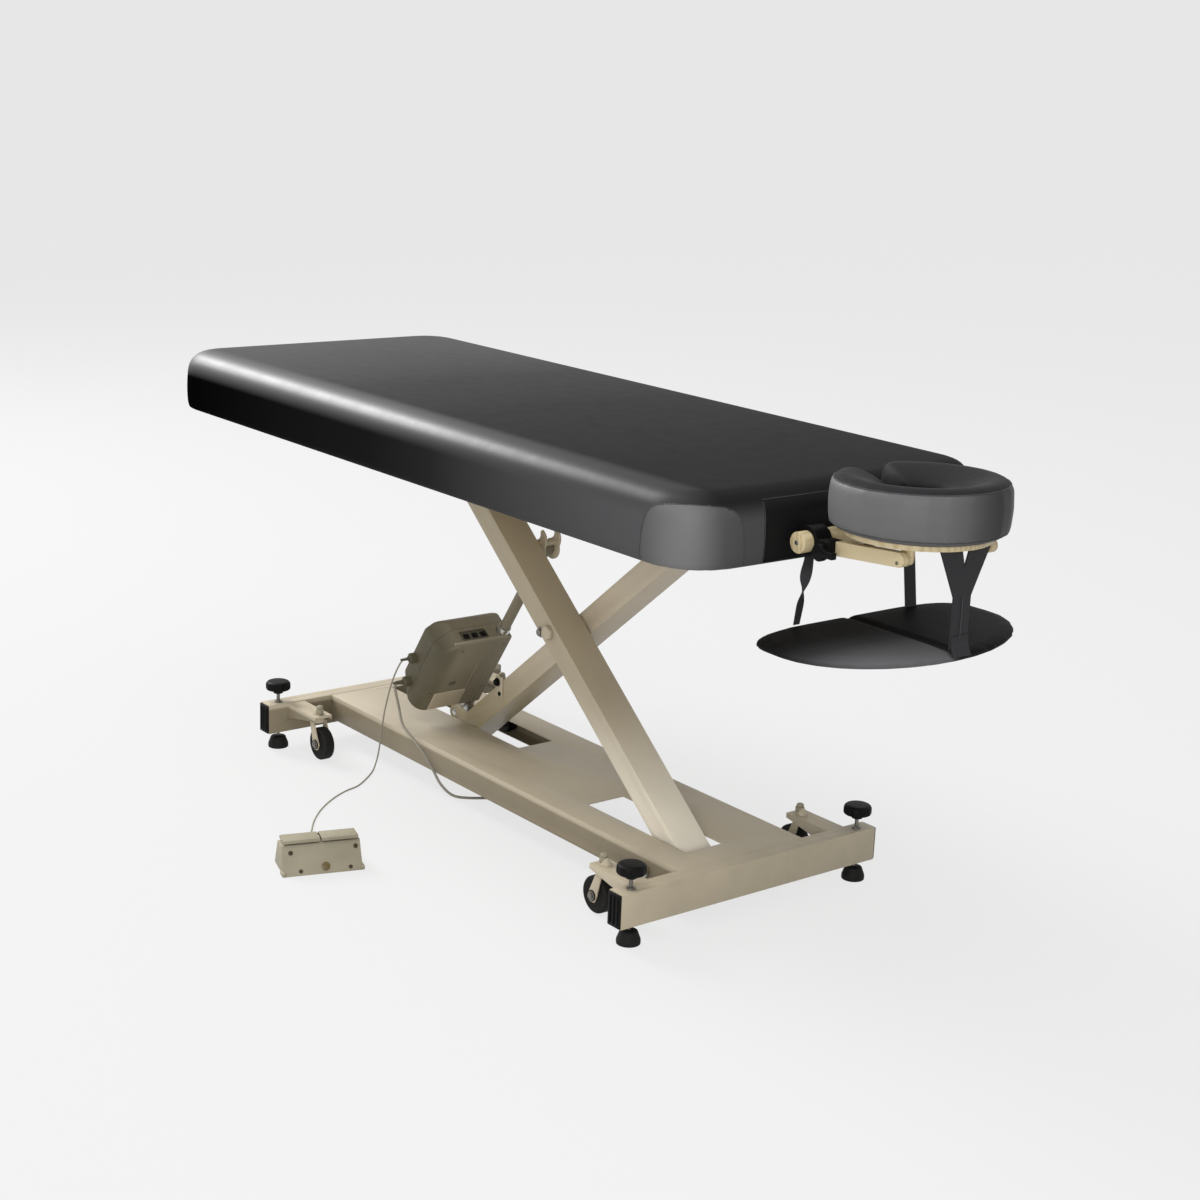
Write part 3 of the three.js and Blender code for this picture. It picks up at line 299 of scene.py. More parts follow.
def case_plastic(name):
    """The actuator case's drab beige, painted darker on its near side as painted shade."""
    finish = Finish(name, (0.2, 0.18, 0.13), 0.55, 0.3)
    cloud = finish.noise(14.0, 4.0)
    # Painted shade: the darker beige on the case's near side.
    dark = finish.ramp(cloud, (0.3, (0.075, 0.065, 0.038)), (0.7, (0.10, 0.088, 0.054)))
    main = finish.ramp(cloud, (0.3, (0.19, 0.168, 0.118)), (0.7, (0.22, 0.195, 0.14)))
    finish.feed("Base Color", finish.blend(finish.along("Y", 0.035, 0.085), dark, main))
    finish.bumpy(finish.noise(1500.0, 2.0), 0.16, 0.0002)
    return finish.material


def moulded_plastic(name, colour, roughness, specular, grain=0.16):
    """Injection moulding: fine spark texture and a faint sheen change."""
    finish = Finish(name, colour, roughness, specular)
    finish.feed("Base Color", finish.ramp(
        finish.noise(14.0, 4.0), (0.3, shade_of(colour, 0.88)), (0.7, shade_of(colour, 1.1))))
    finish.feed("Roughness", finish.spread(
        finish.noise(45.0), roughness - 0.08, roughness + 0.08))
    finish.bumpy(finish.noise(1500.0, 2.0), grain, 0.0002)
    return finish.material


def turned_steel(name, colour, roughness=0.3):
    """Zinc-plated or turned steel with fine lines round it."""
    finish = Finish(name, colour, roughness, metallic=1.0, stretch=(1.0, 60.0, 1.0))
    lines = finish.noise(40.0)
    finish.feed("Roughness", finish.spread(lines, roughness - 0.08, roughness + 0.14))
    finish.bumpy(lines, 0.1, 0.0002)
    return finish.material


def maple_wood(name, stretch):
    """Clear-coated maple: long faint grain along one direction, small flecks across it."""
    pale, mid, dark = (0.54, 0.45, 0.275), (0.47, 0.375, 0.215), (0.36, 0.26, 0.13)
    finish = Finish(name, mid, 0.38, 0.4, stretch=stretch)
    rings = finish.add("TexWave", "Fac", {
        "Scale": 1.1, "Distortion": 6.0, "Detail": 3.0, "Vector": finish.place},
        bands_direction="Y" if stretch[0] < stretch[1] else "X")
    fibre = finish.noise(14.0, 6.0, 0.7)
    finish.feed("Base Color", finish.ramp(
        finish.maths("MULTIPLY", rings, fibre), (0.1, pale), (0.42, mid), (0.75, dark)))
    finish.bumpy(fibre, 0.12, 0.0003)
    return finish.material


THREAD_PITCH = 0.0012


def woven_webbing(name, colour):
    """Flat nylon weave: fine ribs in all three directions."""
    finish = Finish(name, colour, 0.72, 0.25)
    weave = None
    for direction in "XYZ":
        wave = finish.add("TexWave", "Fac", {
            "Scale": 1.0 / (THREAD_PITCH * 20 / math.tau * 2), "Distortion": 0.6,
            "Vector": finish.place}, bands_direction=direction)
        weave = wave if weave is None else finish.maths("MAXIMUM", weave, wave)
    finish.feed("Base Color", finish.ramp(
        weave, (0.2, shade_of(colour, 0.6)), (0.9, shade_of(colour, 1.25))))
    finish.bumpy(weave, 0.5, 0.0004)
    return finish.material


def sling_cloth(name):
    """The armrest's cloth: black, painted greyer on the front of its near half where light falls.
    """
    finish = Finish(name, (0.02, 0.02, 0.02), 0.6, 0.07)
    # Painted light: grey on the front of the near half, where light falls.
    lit_front = finish.maths("MULTIPLY", finish.along("X", 0.86, 1.03),
                        finish.along("Y", 0.152, 0.118))
    finish.feed("Base Color", finish.ramp(
        lit_front, (0.0, (0.004, 0.004, 0.0045)), (0.4, (0.03, 0.03, 0.032)),
        (1.0, (0.11, 0.11, 0.115))))
    folds = finish.bump(finish.noise(28.0), 0.25, 0.002)
    finish.bumpy(finish.noise(900.0, 2.0), 0.4, 0.0004, folds)
    return finish.material


# Base pan and foot bar: a paler top where light falls, and brown walls below as painted shade.
PAN_LIT_TOP = (0.47, 0.41, 0.305)
PAN_WALL_SHADE = (0.235, 0.195, 0.13)
CREAM = powder_coat("cream_coat", (0.43, 0.372, 0.27))
PAN_LIT_SHADED_COAT = lit_and_shaded_coat("cream_coat_lit_top_shaded_walls", PAN_LIT_TOP, (0.094, 0.102),
                          [(PAN_WALL_SHADE, 0.9), (PAN_LIT_TOP, 0.92)], 0.3)
# Lit and shaded copies of the cream coat for the two legs: painted light, leg A paler low down,
# leg B darker low down.
LEG_A_LIT_SHADED_COAT = leg_coat("cream_coat_leg_a_lit_and_shaded", (0.385, 0.327, 0.23), (0.80, 0.735, 0.61))
LEG_B_LIT_SHADED_COAT = leg_coat("cream_coat_leg_b_lit_and_shaded", (0.49, 0.42, 0.315), (0.335, 0.278, 0.17))
VINYL = cover_vinyl("black_vinyl")
VINYL_CORNER_HIGHLIT = corner_vinyl_highlit("vinyl_corner_painted_highlight")
# Near-black vinyl, painted shade: the top's end panel behind the face cradle and the wall inside
# the face cushion's hole.
VINYL_PAINTED_SHADE = grained_vinyl("black_vinyl_painted_shade", (0.006, 0.006, 0.0065), 0.5, 0.12)
VINYL_HEAD_LIT_SIDE = cushion_vinyl("vinyl_head_side_painted_light")
VINYL_RIM = grained_vinyl("black_vinyl_head", (0.02, 0.02, 0.021), 0.5, 0.03)
BLACK = moulded_plastic("black_plastic", (0.004, 0.004, 0.004), 0.48, 0.1)
RUBBER = moulded_plastic("black_rubber", (0.010, 0.0095, 0.009), 0.68, 0.15, 0.3)
BEIGE = moulded_plastic("beige_plastic", (0.27, 0.245, 0.175), 0.55, 0.3)
CASE_BEIGE = case_plastic("case_beige")
BEIGE_DARK = moulded_plastic("beige_plastic_dark", (0.10, 0.09, 0.065), 0.6, 0.25)
AMBER = moulded_plastic("amber_disc", (0.11, 0.075, 0.02), 0.35, 0.5, 0.05)
AMBER_DARK = moulded_plastic("amber_dark", (0.05, 0.03, 0.012), 0.5, 0.3)
CORD_JACKET = moulded_plastic("cord_jacket", (0.25, 0.23, 0.185), 0.5, 0.35, 0.08)
STEEL = turned_steel("zinc_steel", (0.62, 0.62, 0.6))
DARK_STEEL = turned_steel("dark_steel", (0.22, 0.21, 0.19), 0.4)
MAPLE = maple_wood("maple_along", (4.0, 26.0, 26.0))
MAPLE_CROSS = maple_wood("maple_across", (26.0, 4.0, 26.0))
WEBBING = woven_webbing("black_webbing", (0.022, 0.022, 0.024))
SLING = sling_cloth("sling_cloth")
THREAD = moulded_plastic("seam_thread", (0.045, 0.045, 0.047), 0.6, 0.3, 0.3)


# Modelling helpers
def deselect():
    if bpy.context.mode != "OBJECT":
        set_mode("OBJECT")
    bpy.ops.object.select_all(action="DESELECT")


def choose(piece):
    """Makes one piece the only selected one."""
    deselect()
    piece.select_set(True)
    bpy.context.view_layer.objects.active = piece


def new_object(name, data):
    piece = bpy.data.objects.new(name, data)
    bpy.context.scene.collection.objects.link(piece)
    return piece


def mesh_piece(name, points, faces):
    mesh = bpy.data.meshes.new(name)
    mesh.from_pydata(points, [], faces)
    return new_object(name, mesh)


def modified(piece, kind, **settings):
    """Applies one modifier."""
    choose(piece)
    modifier = piece.modifiers.new(kind.lower(), kind)
    for key, value in settings.items():
        setattr(modifier, key, value)
    bpy.ops.object.modifier_apply(modifier=modifier.name)
    return piece


def settle(piece):
    """Writes the piece's place into its mesh."""
    choose(piece)
    bpy.ops.object.transform_apply(location=True, rotation=True, scale=True)
    return piece


def box_piece(name, low, high):
    """A box between two corners."""
    deselect()
    low, high = Vector(low), Vector(high)
    bpy.ops.mesh.primitive_cube_add(size=1, location=(low + high) / 2)
    piece = bpy.context.object
    piece.name = name
    piece.scale = high - low
    return settle(piece)


def rod_piece(name, radius, start, end, sides=32):
    """A round bar between two points."""
    deselect()
    start, end = Vector(start), Vector(end)
    run = end - start
    bpy.ops.mesh.primitive_cylinder_add(vertices=sides, radius=radius, depth=run.length,
                                        location=(start + end) / 2,
                                        rotation=run.to_track_quat("Z", "Y").to_euler())
    piece = bpy.context.object
    piece.name = name
    return settle(piece)


def set_mode(mode):
    bpy.ops.object.mode_set(mode=mode)


def edit_parts(piece, kind, parts, test):
    """Edit mode with only those faces or edges that pass the test."""
    choose(piece)
    set_mode("EDIT")
    bpy.ops.mesh.select_mode(type=kind)
    bpy.ops.mesh.select_all(action="DESELECT")
    set_mode("OBJECT")
    for part in parts:
        part.select = bool(test(part))
    set_mode("EDIT")


def face_select(piece, test):
    edit_parts(piece, "FACE", piece.data.polygons, test)


def bevel_edges(piece, test, width, segments):
    """Rounds the edges whose two ends pass the test."""
    edit_parts(piece, "EDGE", piece.data.edges,
               lambda edge: all(test(piece.data.vertices[i].co) for i in edge.vertices))
    bpy.ops.mesh.bevel(offset=width, segments=segments, affect="EDGES")
    set_mode("OBJECT")


def bevel_piece(piece, width, segments=2, angle=30):
    """Rounds the sharp edges."""
    return modified(piece, "BEVEL", width=width, segments=segments, limit_method="ANGLE",
                    angle_limit=math.radians(angle), miter_outer="MITER_ARC")


def smooth_piece(piece, angle=35):
    choose(piece)
    bpy.ops.object.shade_smooth_by_angle(angle=math.radians(angle))
    return piece


def joined_piece(name, pieces):
    """Several loose pieces as one."""
    deselect()
    for piece in pieces:
        piece.select_set(True)
    bpy.context.view_layer.objects.active = pieces[0]
    if len(pieces) > 1:
        bpy.ops.object.join()
    pieces[0].name = name
    return pieces[0]


def cut_piece(piece, tools):
    """Takes the tools' shapes out of a piece."""
    for tool in tools:
        modified(piece, "BOOLEAN", operation="DIFFERENCE", solver="EXACT", object=tool)
        bpy.data.objects.remove(tool)
    return piece


def slice_off(piece, place, normal, closed=True):
    """Takes away what lies in front of a plane."""
    choose(piece)
    set_mode("EDIT")
    bpy.ops.mesh.select_all(action="SELECT")
    bpy.ops.mesh.bisect(plane_co=place, plane_no=normal, use_fill=closed, clear_outer=True)
    set_mode("OBJECT")
    return piece


def surface_of(piece):
    """A finder of nearest points on a piece."""
    mesh = piece.data
    return BVHTree.FromPolygons([v.co for v in mesh.vertices],
                                [tuple(face.vertices) for face in mesh.polygons])


def snapped(points, surface, lift=0.0):
    """The points moved onto a surface, lifted a little along its normal."""
    line = []
    for point in points:
        place, normal, _, _ = surface.find_nearest(point)
        line.append(place + normal * lift)
    return line


def finish_piece(piece, body, finish, replaces=()):
    """Gives a piece its finish, its body and the nodes it stands for."""
    piece.data.materials.clear()
    piece.data.materials.append(finish)
    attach(piece, body)
    if replaces:
        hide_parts(*replaces)
    return piece


def body_of(node):
    return frame["nodes"][node]["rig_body"]


def copy_of(node, name, flat_faces=True):
    """The CAD node's shape as a fresh piece, its triangles merged into flat faces."""
    piece = new_object(name, frame["nodes"][node].data.copy())
    choose(piece)
    set_mode("EDIT")
    bpy.ops.mesh.select_all(action="SELECT")
    bpy.ops.mesh.remove_doubles(threshold=0.02 * MM)
    if flat_faces:
        bpy.ops.mesh.dissolve_limited(angle_limit=math.radians(1.0))
    set_mode("OBJECT")
    return piece


def eased(node, width, finish, slot, segments=2, angle=30, smooth=35, flat_faces=True):
    """A CAD piece with its sharp edges rounded."""
    piece = copy_of(node, f"{node}_eased", flat_faces)
    bevel_piece(piece, width, segments, angle)
    smooth_piece(piece, smooth)
    return finish_piece(piece, body_of(node), finish, [node])


def hex_bolt(name, place, direction, size, height, body, finish):
    """A hexagon head with a washer and a rounded crown."""
    place, direction = Vector(place), Vector(direction).normalized()
    washer = rod_piece(f"{name}_washer", size * 0.75, place, place + direction * height * 0.25, 24)
    head = rod_piece(f"{name}_head", size * 0.56, place + direction * height * 0.25,
                     place + direction * height, 6)
    bolt = joined_piece(name, [washer, head])
    bevel_piece(bolt, size * 0.05, 2, 40)
    smooth_piece(bolt, 30)
    return finish_piece(bolt, body, finish)


def screw_head(name, place, direction, radius, body, finish=DARK_STEEL):
    """A pan-head screw with a socket in it."""
    place, direction = Vector(place), Vector(direction).normalized()
    head = rod_piece(name, radius, place - direction * radius * 0.3,
                     place + direction * radius * 0.45, 20)
    bevel_piece(head, radius * 0.25, 3, 40)
    socket = rod_piece(f"{name}_socket", radius * 0.45, place + direction * radius * 0.1,
                       place + direction * radius, 6)
    cut_piece(head, [socket])
    smooth_piece(head, 35)
    return finish_piece(head, body, finish)


# Rings and skins for the padded pieces
def rounded_ring(half_x, half_y, radius, z, per_corner, per_side):
    """Points round a rounded rectangle, anticlockwise seen from above."""
    points = []
    corners = [(1, 1, 0), (-1, 1, 1), (-1, -1, 2), (1, -1, 3)]
    for number, (sign_x, sign_y, start) in enumerate(corners):
        for k in range(per_corner + 1):
            turn = (start + k / per_corner) * math.pi / 2
            points.append(Vector((
                sign_x * (half_x - radius) + radius * math.cos(turn),
                sign_y * (half_y - radius) + radius * math.sin(turn), z)))
        next_x, next_y, next_start = corners[(number + 1) % 4]
        turn = next_start * math.pi / 2
        goal = Vector((next_x * (half_x - radius) + radius * math.cos(turn),
                       next_y * (half_y - radius) + radius * math.sin(turn), z))
        last = points[-1].copy()
        count = per_side[number % 2]
        for k in range(1, count):
            points.append(last.lerp(goal, k / count))
    return points


def skin_piece(name, rings):
    """A closed skin through rings of equal point counts."""
    count = len(rings[0])
    points = [point for ring in rings for point in ring]
    faces = []
    for r in range(len(rings) - 1):
        for i in range(count):
            a, b = r * count + i, r * count + (i + 1) % count
            faces.append((a, b, b + count, a + count))
    faces.append(tuple(reversed(range(count))))
    faces.append(tuple(range((len(rings) - 1) * count, len(rings) * count)))
    return mesh_piece(name, [p * MM for p in points], faces)


def shifted(points):
    return [Vector((p.x + SHIFT_X, p.y + SHIFT_Y, p.z)) for p in points]


def tube_piece(name, points, radius):
    """A smooth tube along points in metres, as a mesh."""
    line = bpy.data.curves.new(name, "CURVE")
    line.dimensions = "3D"
    line.bevel_depth = radius
    line.bevel_resolution = 3
    line.use_fill_caps = True
    spline = line.splines.new("POLY")
    spline.points.add(len(points) - 1)
    for slot, point in zip(spline.points, points):
        slot.co = (*point, 1)
    choose(new_object(name, line))
    bpy.ops.object.convert(target="MESH")
    bpy.ops.object.shade_smooth()
    return bpy.context.object


def smooth_line(points, per_span=6):
    """A centripetal curve through given points, never lower than the lowest of them."""
    lowest = min(point.z for point in points)
    ends = [2 * points[0] - points[1], *points, 2 * points[-1] - points[-2]]
    line = []
    for i in range(1, len(ends) - 2):
        p0, p1, p2, p3 = ends[i - 1:i + 3]
        t1 = (p1 - p0).length ** 0.5
        t2 = t1 + (p2 - p1).length ** 0.5
        t3 = t2 + (p3 - p2).length ** 0.5
        for k in range(per_span):
            t = t1 + (t2 - t1) * k / per_span
            a1 = p0 * ((t1 - t) / t1) + p1 * (t / t1)
            a2 = p1 * ((t2 - t) / (t2 - t1)) + p2 * ((t - t1) / (t2 - t1))
            a3 = p2 * ((t3 - t) / (t3 - t2)) + p3 * ((t - t2) / (t3 - t2))
            b1 = a1 * ((t2 - t) / t2) + a2 * (t / t2)
            b2 = a2 * ((t3 - t) / (t3 - t1)) + a3 * ((t - t1) / (t3 - t1))
            point = b1 * ((t2 - t) / (t2 - t1)) + b2 * ((t - t1) / (t2 - t1))
            point.z = max(point.z, lowest)
            line.append(point)
    line.append(points[-1].copy())
    return line


def line_length(points):
    return sum((b - a).length for a, b in zip(points, points[1:]))


# Cords: the routes of the drawing, in millimetres
STRUT_LOW = Vector((-317.0, 0.0, 105.0))
STRUT_HIGH = Vector((-15.0, 0.0, 552.0))
STRUT_AXIS = (STRUT_HIGH - STRUT_LOW).normalized()
STRUT_SIDE = Vector((STRUT_AXIS.z, 0.0, -STRUT_AXIS.x))
CASE_NEAR = -115.0
SOCKET_STAND = 16.0
SEAT = 0.3
PEDAL_SOCKET = (157.0, -55.0)
MAINS_SOCKET = (95.0, -40.0)
PEDAL_CORD_RADIUS = 1.8
MAINS_CORD_RADIUS = 3.0
PEDAL_PLACE = Vector((94.5, -576.0, 0.0))
PEDAL_TURN = math.radians(-17.3)
PEDAL_DEPTH = 90.0
GLAND_STAND = 3.0
GLAND_LOW = 4.0
GLAND_HALF = 5.0
COIL_CENTRE = Vector((70.0, 246.0, 0.0))
COIL_TURNS = 4
COIL_INNER = 20.0
COIL_GAP = 1.4
PLUG_TAIL = 42.0


def strut_point(along, out, y):
    """A point in the actuator's own directions."""
    return STRUT_LOW + STRUT_AXIS * along + STRUT_SIDE * out + Vector((0.0, y, 0.0))


def pedal_point(along, z):
    """A point behind the pedal, along its cord."""
    back = Vector((-PEDAL_DEPTH / 2 - GLAND_STAND - SEAT - along, 0.0, z))
    back.rotate(Euler((0.0, 0.0, PEDAL_TURN)))
    return back + PEDAL_PLACE


def pedal_route():
    exit_place = strut_point(*PEDAL_SOCKET, CASE_NEAR - SOCKET_STAND - SEAT)
    floor = PEDAL_CORD_RADIUS + SEAT
    by_hand = [(-299, -152, 226), (-318, -160, 160), (-326, -165, 108), (-331, -168, 62),
               (-334, -172, 28), (-328, -184, 6), (-304, -208, floor), (-276, -240, floor),
               (-250, -276, floor), (-237, -313, floor), (-214, -356, floor),
               (-171, -412, floor), (-118, -462, floor), (-62, -502, floor)]
    return [exit_place, exit_place + Vector((0, -14, 0)), *map(Vector, by_hand),
            pedal_point(44, floor), pedal_point(20, floor + 4),
            pedal_point(0, GLAND_LOW + GLAND_HALF)]


def coil_winding():
    """Two layers: in along the floor, up through a half turn, out on top."""
    pitch = 2 * MAINS_CORD_RADIUS + COIL_GAP
    outer = COIL_INNER + COIL_TURNS * pitch
    per_turn = 24
    steps = COIL_TURNS * per_turn
    climb = per_turn // 2
    rows = [(i, outer - pitch * i / per_turn, MAINS_CORD_RADIUS) for i in range(steps + 1)]
    rows += [(steps + i, COIL_INNER, MAINS_CORD_RADIUS + pitch * i / climb)
             for i in range(1, climb + 1)]
    rows += [(steps + climb + i, COIL_INNER + pitch * i / per_turn, MAINS_CORD_RADIUS + pitch)
             for i in range(1, steps + 1)]
    points = []
    for i, radius, z in rows:
        turn = i / per_turn * math.tau - math.pi / 2
        points.append(COIL_CENTRE + Vector((radius * math.cos(turn), radius * math.sin(turn),
                                            z + SEAT)))
    return points


def mains_route():
    exit_place = strut_point(*MAINS_SOCKET, CASE_NEAR - SOCKET_STAND - SEAT)
    floor = MAINS_CORD_RADIUS + SEAT
    start = coil_winding()[0]
    by_hand = [(-268, -160, 160), (-240, -167, 128), (-200, -167, 108), (-160, -166, 88),
               (-124, -164, 60), (-98, -158, 30), (-78, -140, 8), (-52, -106, floor),
               (-28, -60, floor), (-16, 0, floor), (-14, 70, floor), (-8, 140, floor),
               (12, 178, floor)]
    return [exit_place, exit_place + Vector((0, -20, 0)), *map(Vector, by_hand),
            start + Vector((-30, 0, 0)), start + Vector((-2 * MAINS_CORD_RADIUS - SEAT, 0, 0))]


def in_row(points):
    return [at(*point) for point in points]


def strain_relief(name, place, direction, radius, length, body, finish):
    """A ribbed sleeve that tapers towards the cord."""
    place, direction = Vector(place), Vector(direction).normalized()
    parts = []
    ribs = 5
    for k in range(ribs):
        share = 1.9 - 0.75 * k / ribs
        start = place + direction * length * k / ribs
        parts.append(rod_piece(f"{name}_rib{k}", radius * share, start,
                               start + direction * length / ribs * 0.62, 20))
    parts.append(rod_piece(f"{name}_core", radius * 1.22, place - direction * radius,
                           place + direction * length * 0.96, 20))
    relief = joined_piece(name, parts)
    bevel_piece(relief, radius * 0.12, 2, 40)
    smooth_piece(relief, 40)
    return finish_piece(relief, body, finish)


def make_cords():
    pedal_line = in_row(smooth_line(pedal_route()))
    pedal_cord = tube_piece("pedal_lead", pedal_line, PEDAL_CORD_RADIUS * MM)
    finish_piece_free(pedal_cord, CORD_JACKET, ["pedal_cord"])
    socket_top = pedal_line[0]
    strain_relief("pedal_lead_relief", socket_top, (0, -1, 0), PEDAL_CORD_RADIUS * MM * 1.15,
                  22 * MM, "actuator", BEIGE_DARK)
    strain_relief("pedal_lead_gland", pedal_line[-1],
                  pedal_line[-3] - pedal_line[-1], PEDAL_CORD_RADIUS * MM * 1.1, 20 * MM, "base",
                  BEIGE_DARK)
    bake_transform(pedal_cord)

    winding = coil_winding()
    tail = (winding[-1] - winding[-2]).normalized()
    whole = smooth_line(mains_route()) + winding + [
        winding[-1] + tail * PLUG_TAIL * k / 4 for k in range(1, 5)]
    mains_line = in_row(whole)
    mains = tube_piece("mains_lead", mains_line, MAINS_CORD_RADIUS * MM)
    finish_piece_free(mains, CORD_JACKET, ["mains_cord", "mains_coil"])
    strain_relief("mains_lead_relief", mains_line[0], (0, -1, 0), MAINS_CORD_RADIUS * MM,
                  26 * MM, "actuator", BEIGE_DARK)
    plug = make_plug(mains_line[-1], tail)
    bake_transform(mains)


def finish_piece_free(piece, finish, replaces):
    """Like finish_piece, for a piece that runs between two bodies: it gives the finish and hides
    the replaced nodes, but ties the piece to no body.
    """
    piece.data.materials.clear()
    piece.data.materials.append(finish)
    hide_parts(*replaces)


def make_plug(place, direction):
    """A moulded two-pin plug with a ribbed neck."""
    plug = copy_of("mains_plug", "mains_lead_plug")
    bevel_piece(plug, 2.2 * MM, 3, 40)
    smooth_piece(plug, 40)
    finish_piece(plug, "base", BLACK, ["mains_plug"])
    strain_relief("mains_lead_plug_neck", place, -direction, MAINS_CORD_RADIUS * MM, 24 * MM,
                  "base", BLACK)
    return plug


make_cords()


# Padded top: vinyl drawn over the pad and down round the side boards
TOP_HALF_X = 927.0
TOP_HALF_Y = 370.0
TOP_CORNER = 100.0
TOP_LOW = 750.0
TOP_HIGH = 882.0
TOP_EDGE = 46.0
TOP_CROWN = 2.5
BOARD = 22.0
DECK_MIDDLE = 812.0
SIDE_SWELL = 2.0


def soften_cloth(piece, pinned, cap, pressure, frames):
    """Blows the pad up a little under its cover, and caps how far each point may move."""
    rest = [v.co.copy() for v in piece.data.vertices]
    group = piece.vertex_groups.new(name="held")
    for v in piece.data.vertices:
        group.add([v.index], pinned(v.co), "REPLACE")
    choose(piece)
    cloth = piece.modifiers.new("cover", "CLOTH")
    cloth.settings.use_pressure = True
    cloth.settings.uniform_pressure_force = pressure
    cloth.settings.vertex_group_mass = "held"
    cloth.settings.effector_weights.gravity = 0
    cloth.settings.quality = 4
    cloth.point_cache.frame_start = 1
    cloth.point_cache.frame_end = frames
    for number in range(1, frames + 1):
        bpy.context.scene.frame_set(number)
    bpy.ops.object.modifier_apply(modifier=cloth.name)
    bpy.context.scene.frame_set(1)
    for v, before in zip(piece.data.vertices, rest):
        move = v.co - before
        if move.length > cap:
            v.co = before + move.normalized() * cap
    piece.vertex_groups.clear()


def subdivide_smooth(piece):
    modified(piece, "SUBSURF", levels=1, render_levels=1)
    bpy.ops.object.shade_smooth()


def top_profile():
    """(inset, height) from inside the deck, round the side board, over the edge to the crown."""
    rows = [(BOARD + 0.4, DECK_MIDDLE), (BOARD + 0.4, 790), (BOARD + 0.4, TOP_LOW + 6),
            (BOARD - 1.5, TOP_LOW + 0.8), (BOARD - 7, TOP_LOW), (7.5, TOP_LOW)]
    for k in range(1, 4):
        turn = k / 4 * math.pi / 2
        rows.append((7.5 * (1 - math.sin(turn)), TOP_LOW + 9 * (1 - math.cos(turn))))
    for k in range(5):
        share = k / 4
        z = TOP_LOW + 9 + share * (TOP_HIGH - TOP_EDGE - TOP_LOW - 9)
        rows.append((-SIDE_SWELL * math.sin(math.pi * share), z))
    for k in range(1, 7):
        turn = k / 6 * math.pi / 2
        rows.append((TOP_EDGE * (1 - math.cos(turn)),
                     TOP_HIGH - TOP_EDGE + TOP_EDGE * math.sin(turn)))
    for inset in (60, 85, 125, 180, 250, 310):
        rows.append((inset, TOP_HIGH + TOP_CROWN * math.sin(
            min(1, (inset - TOP_EDGE) / 180) * math.pi / 2)))
    return rows


def remesh_piece(piece, voxel):
    """Even small squares all over a closed skin."""
    modified(piece, "REMESH", mode="VOXEL", voxel_size=voxel)
    modified(piece, "SMOOTH", factor=0.5, iterations=2)


# Sewn panels of the top, as (distance round the corner from the long side, height)
CORNER_ARC = TOP_CORNER * math.pi / 2
CORNER_PATCH = ((-24, 753), (-22, 790), (-18, 822), (-9, 845), (10, 861), (42, 870), (80, 873),
                (118, 870), (150, 861), (169, 845), (177, 822), (181, 790), (183, 753))
END_PANEL_HALF = 200.0
END_PANEL_TOP = 868.0
END_PANEL_DEPTH = 12.0
HEAD_PANELS_FROM = 700.0
UNDER_FOLD = 3.0
COVER_HELD_BELOW = 790.0
COVER_FREE_ABOVE = 850.0
COVER_LEAST_HOLD = 0.25
COVER_SQUARES = 9.0


def round_corner(distance, z, sign_y):
    """The point that far round a head corner of the top, from the end of the long side."""
    straight_x, straight_y = TOP_HALF_X - TOP_CORNER, TOP_HALF_Y - TOP_CORNER
    if distance <= 0:
        x, y = straight_x + distance, TOP_HALF_Y
    elif distance >= CORNER_ARC:
        x, y = TOP_HALF_X, straight_y - (distance - CORNER_ARC)
    else:
        turn = distance / TOP_CORNER
        x = straight_x + TOP_CORNER * math.sin(turn)
        y = straight_y + TOP_CORNER * math.cos(turn)
    return at(x, sign_y * y, z)


def corner_distance(x, y):
    """The other way: how far round the nearest head corner a place on the side is."""
    out_x, out_y = x - (TOP_HALF_X - TOP_CORNER), abs(y) - (TOP_HALF_Y - TOP_CORNER)
    if out_x <= 0:
        return out_x
    if out_y <= 0:
        return CORNER_ARC - out_y
    return math.atan2(out_x, out_y) * TOP_CORNER


def patch_height(distance, edge):
    """Upper edge of the corner patch at that distance, or 0 outside it."""
    for (d0, z0), (d1, z1) in zip(edge, edge[1:]):
        if d0 <= distance < d1:
            return z0 + (z1 - z0) * (distance - d0) / (d1 - d0)
    return 0.0


def patch_edge(cover):
    """The corner patch's outline as it lies on the made-up cover."""
    arch = smooth_line([round_corner(distance, z, -1) for distance, z in CORNER_PATCH])
    return [(corner_distance(p.x / MM - SHIFT_X, p.y / MM - SHIFT_Y), p.z / MM)
            for p in snapped(arch, surface_of(cover), 0)]


def panel_number(place, edge):
    """0 main cover, 1 corner patch, 2 end panel."""
    x, y, z = place.x / MM - SHIFT_X, place.y / MM - SHIFT_Y, place.z / MM
    if z < TOP_LOW + UNDER_FOLD or x < HEAD_PANELS_FROM:
        return 0
    # The end panel takes the near-black vinyl: painted shade behind the face cradle.
    if x > TOP_HALF_X - END_PANEL_DEPTH and abs(y) < END_PANEL_HALF and z < END_PANEL_TOP:
        return 2
    if abs(y) < TOP_HALF_Y - TOP_CORNER and x < TOP_HALF_X - TOP_CORNER:
        return 0
    return 1 if z < patch_height(corner_distance(x, y), edge) else 0


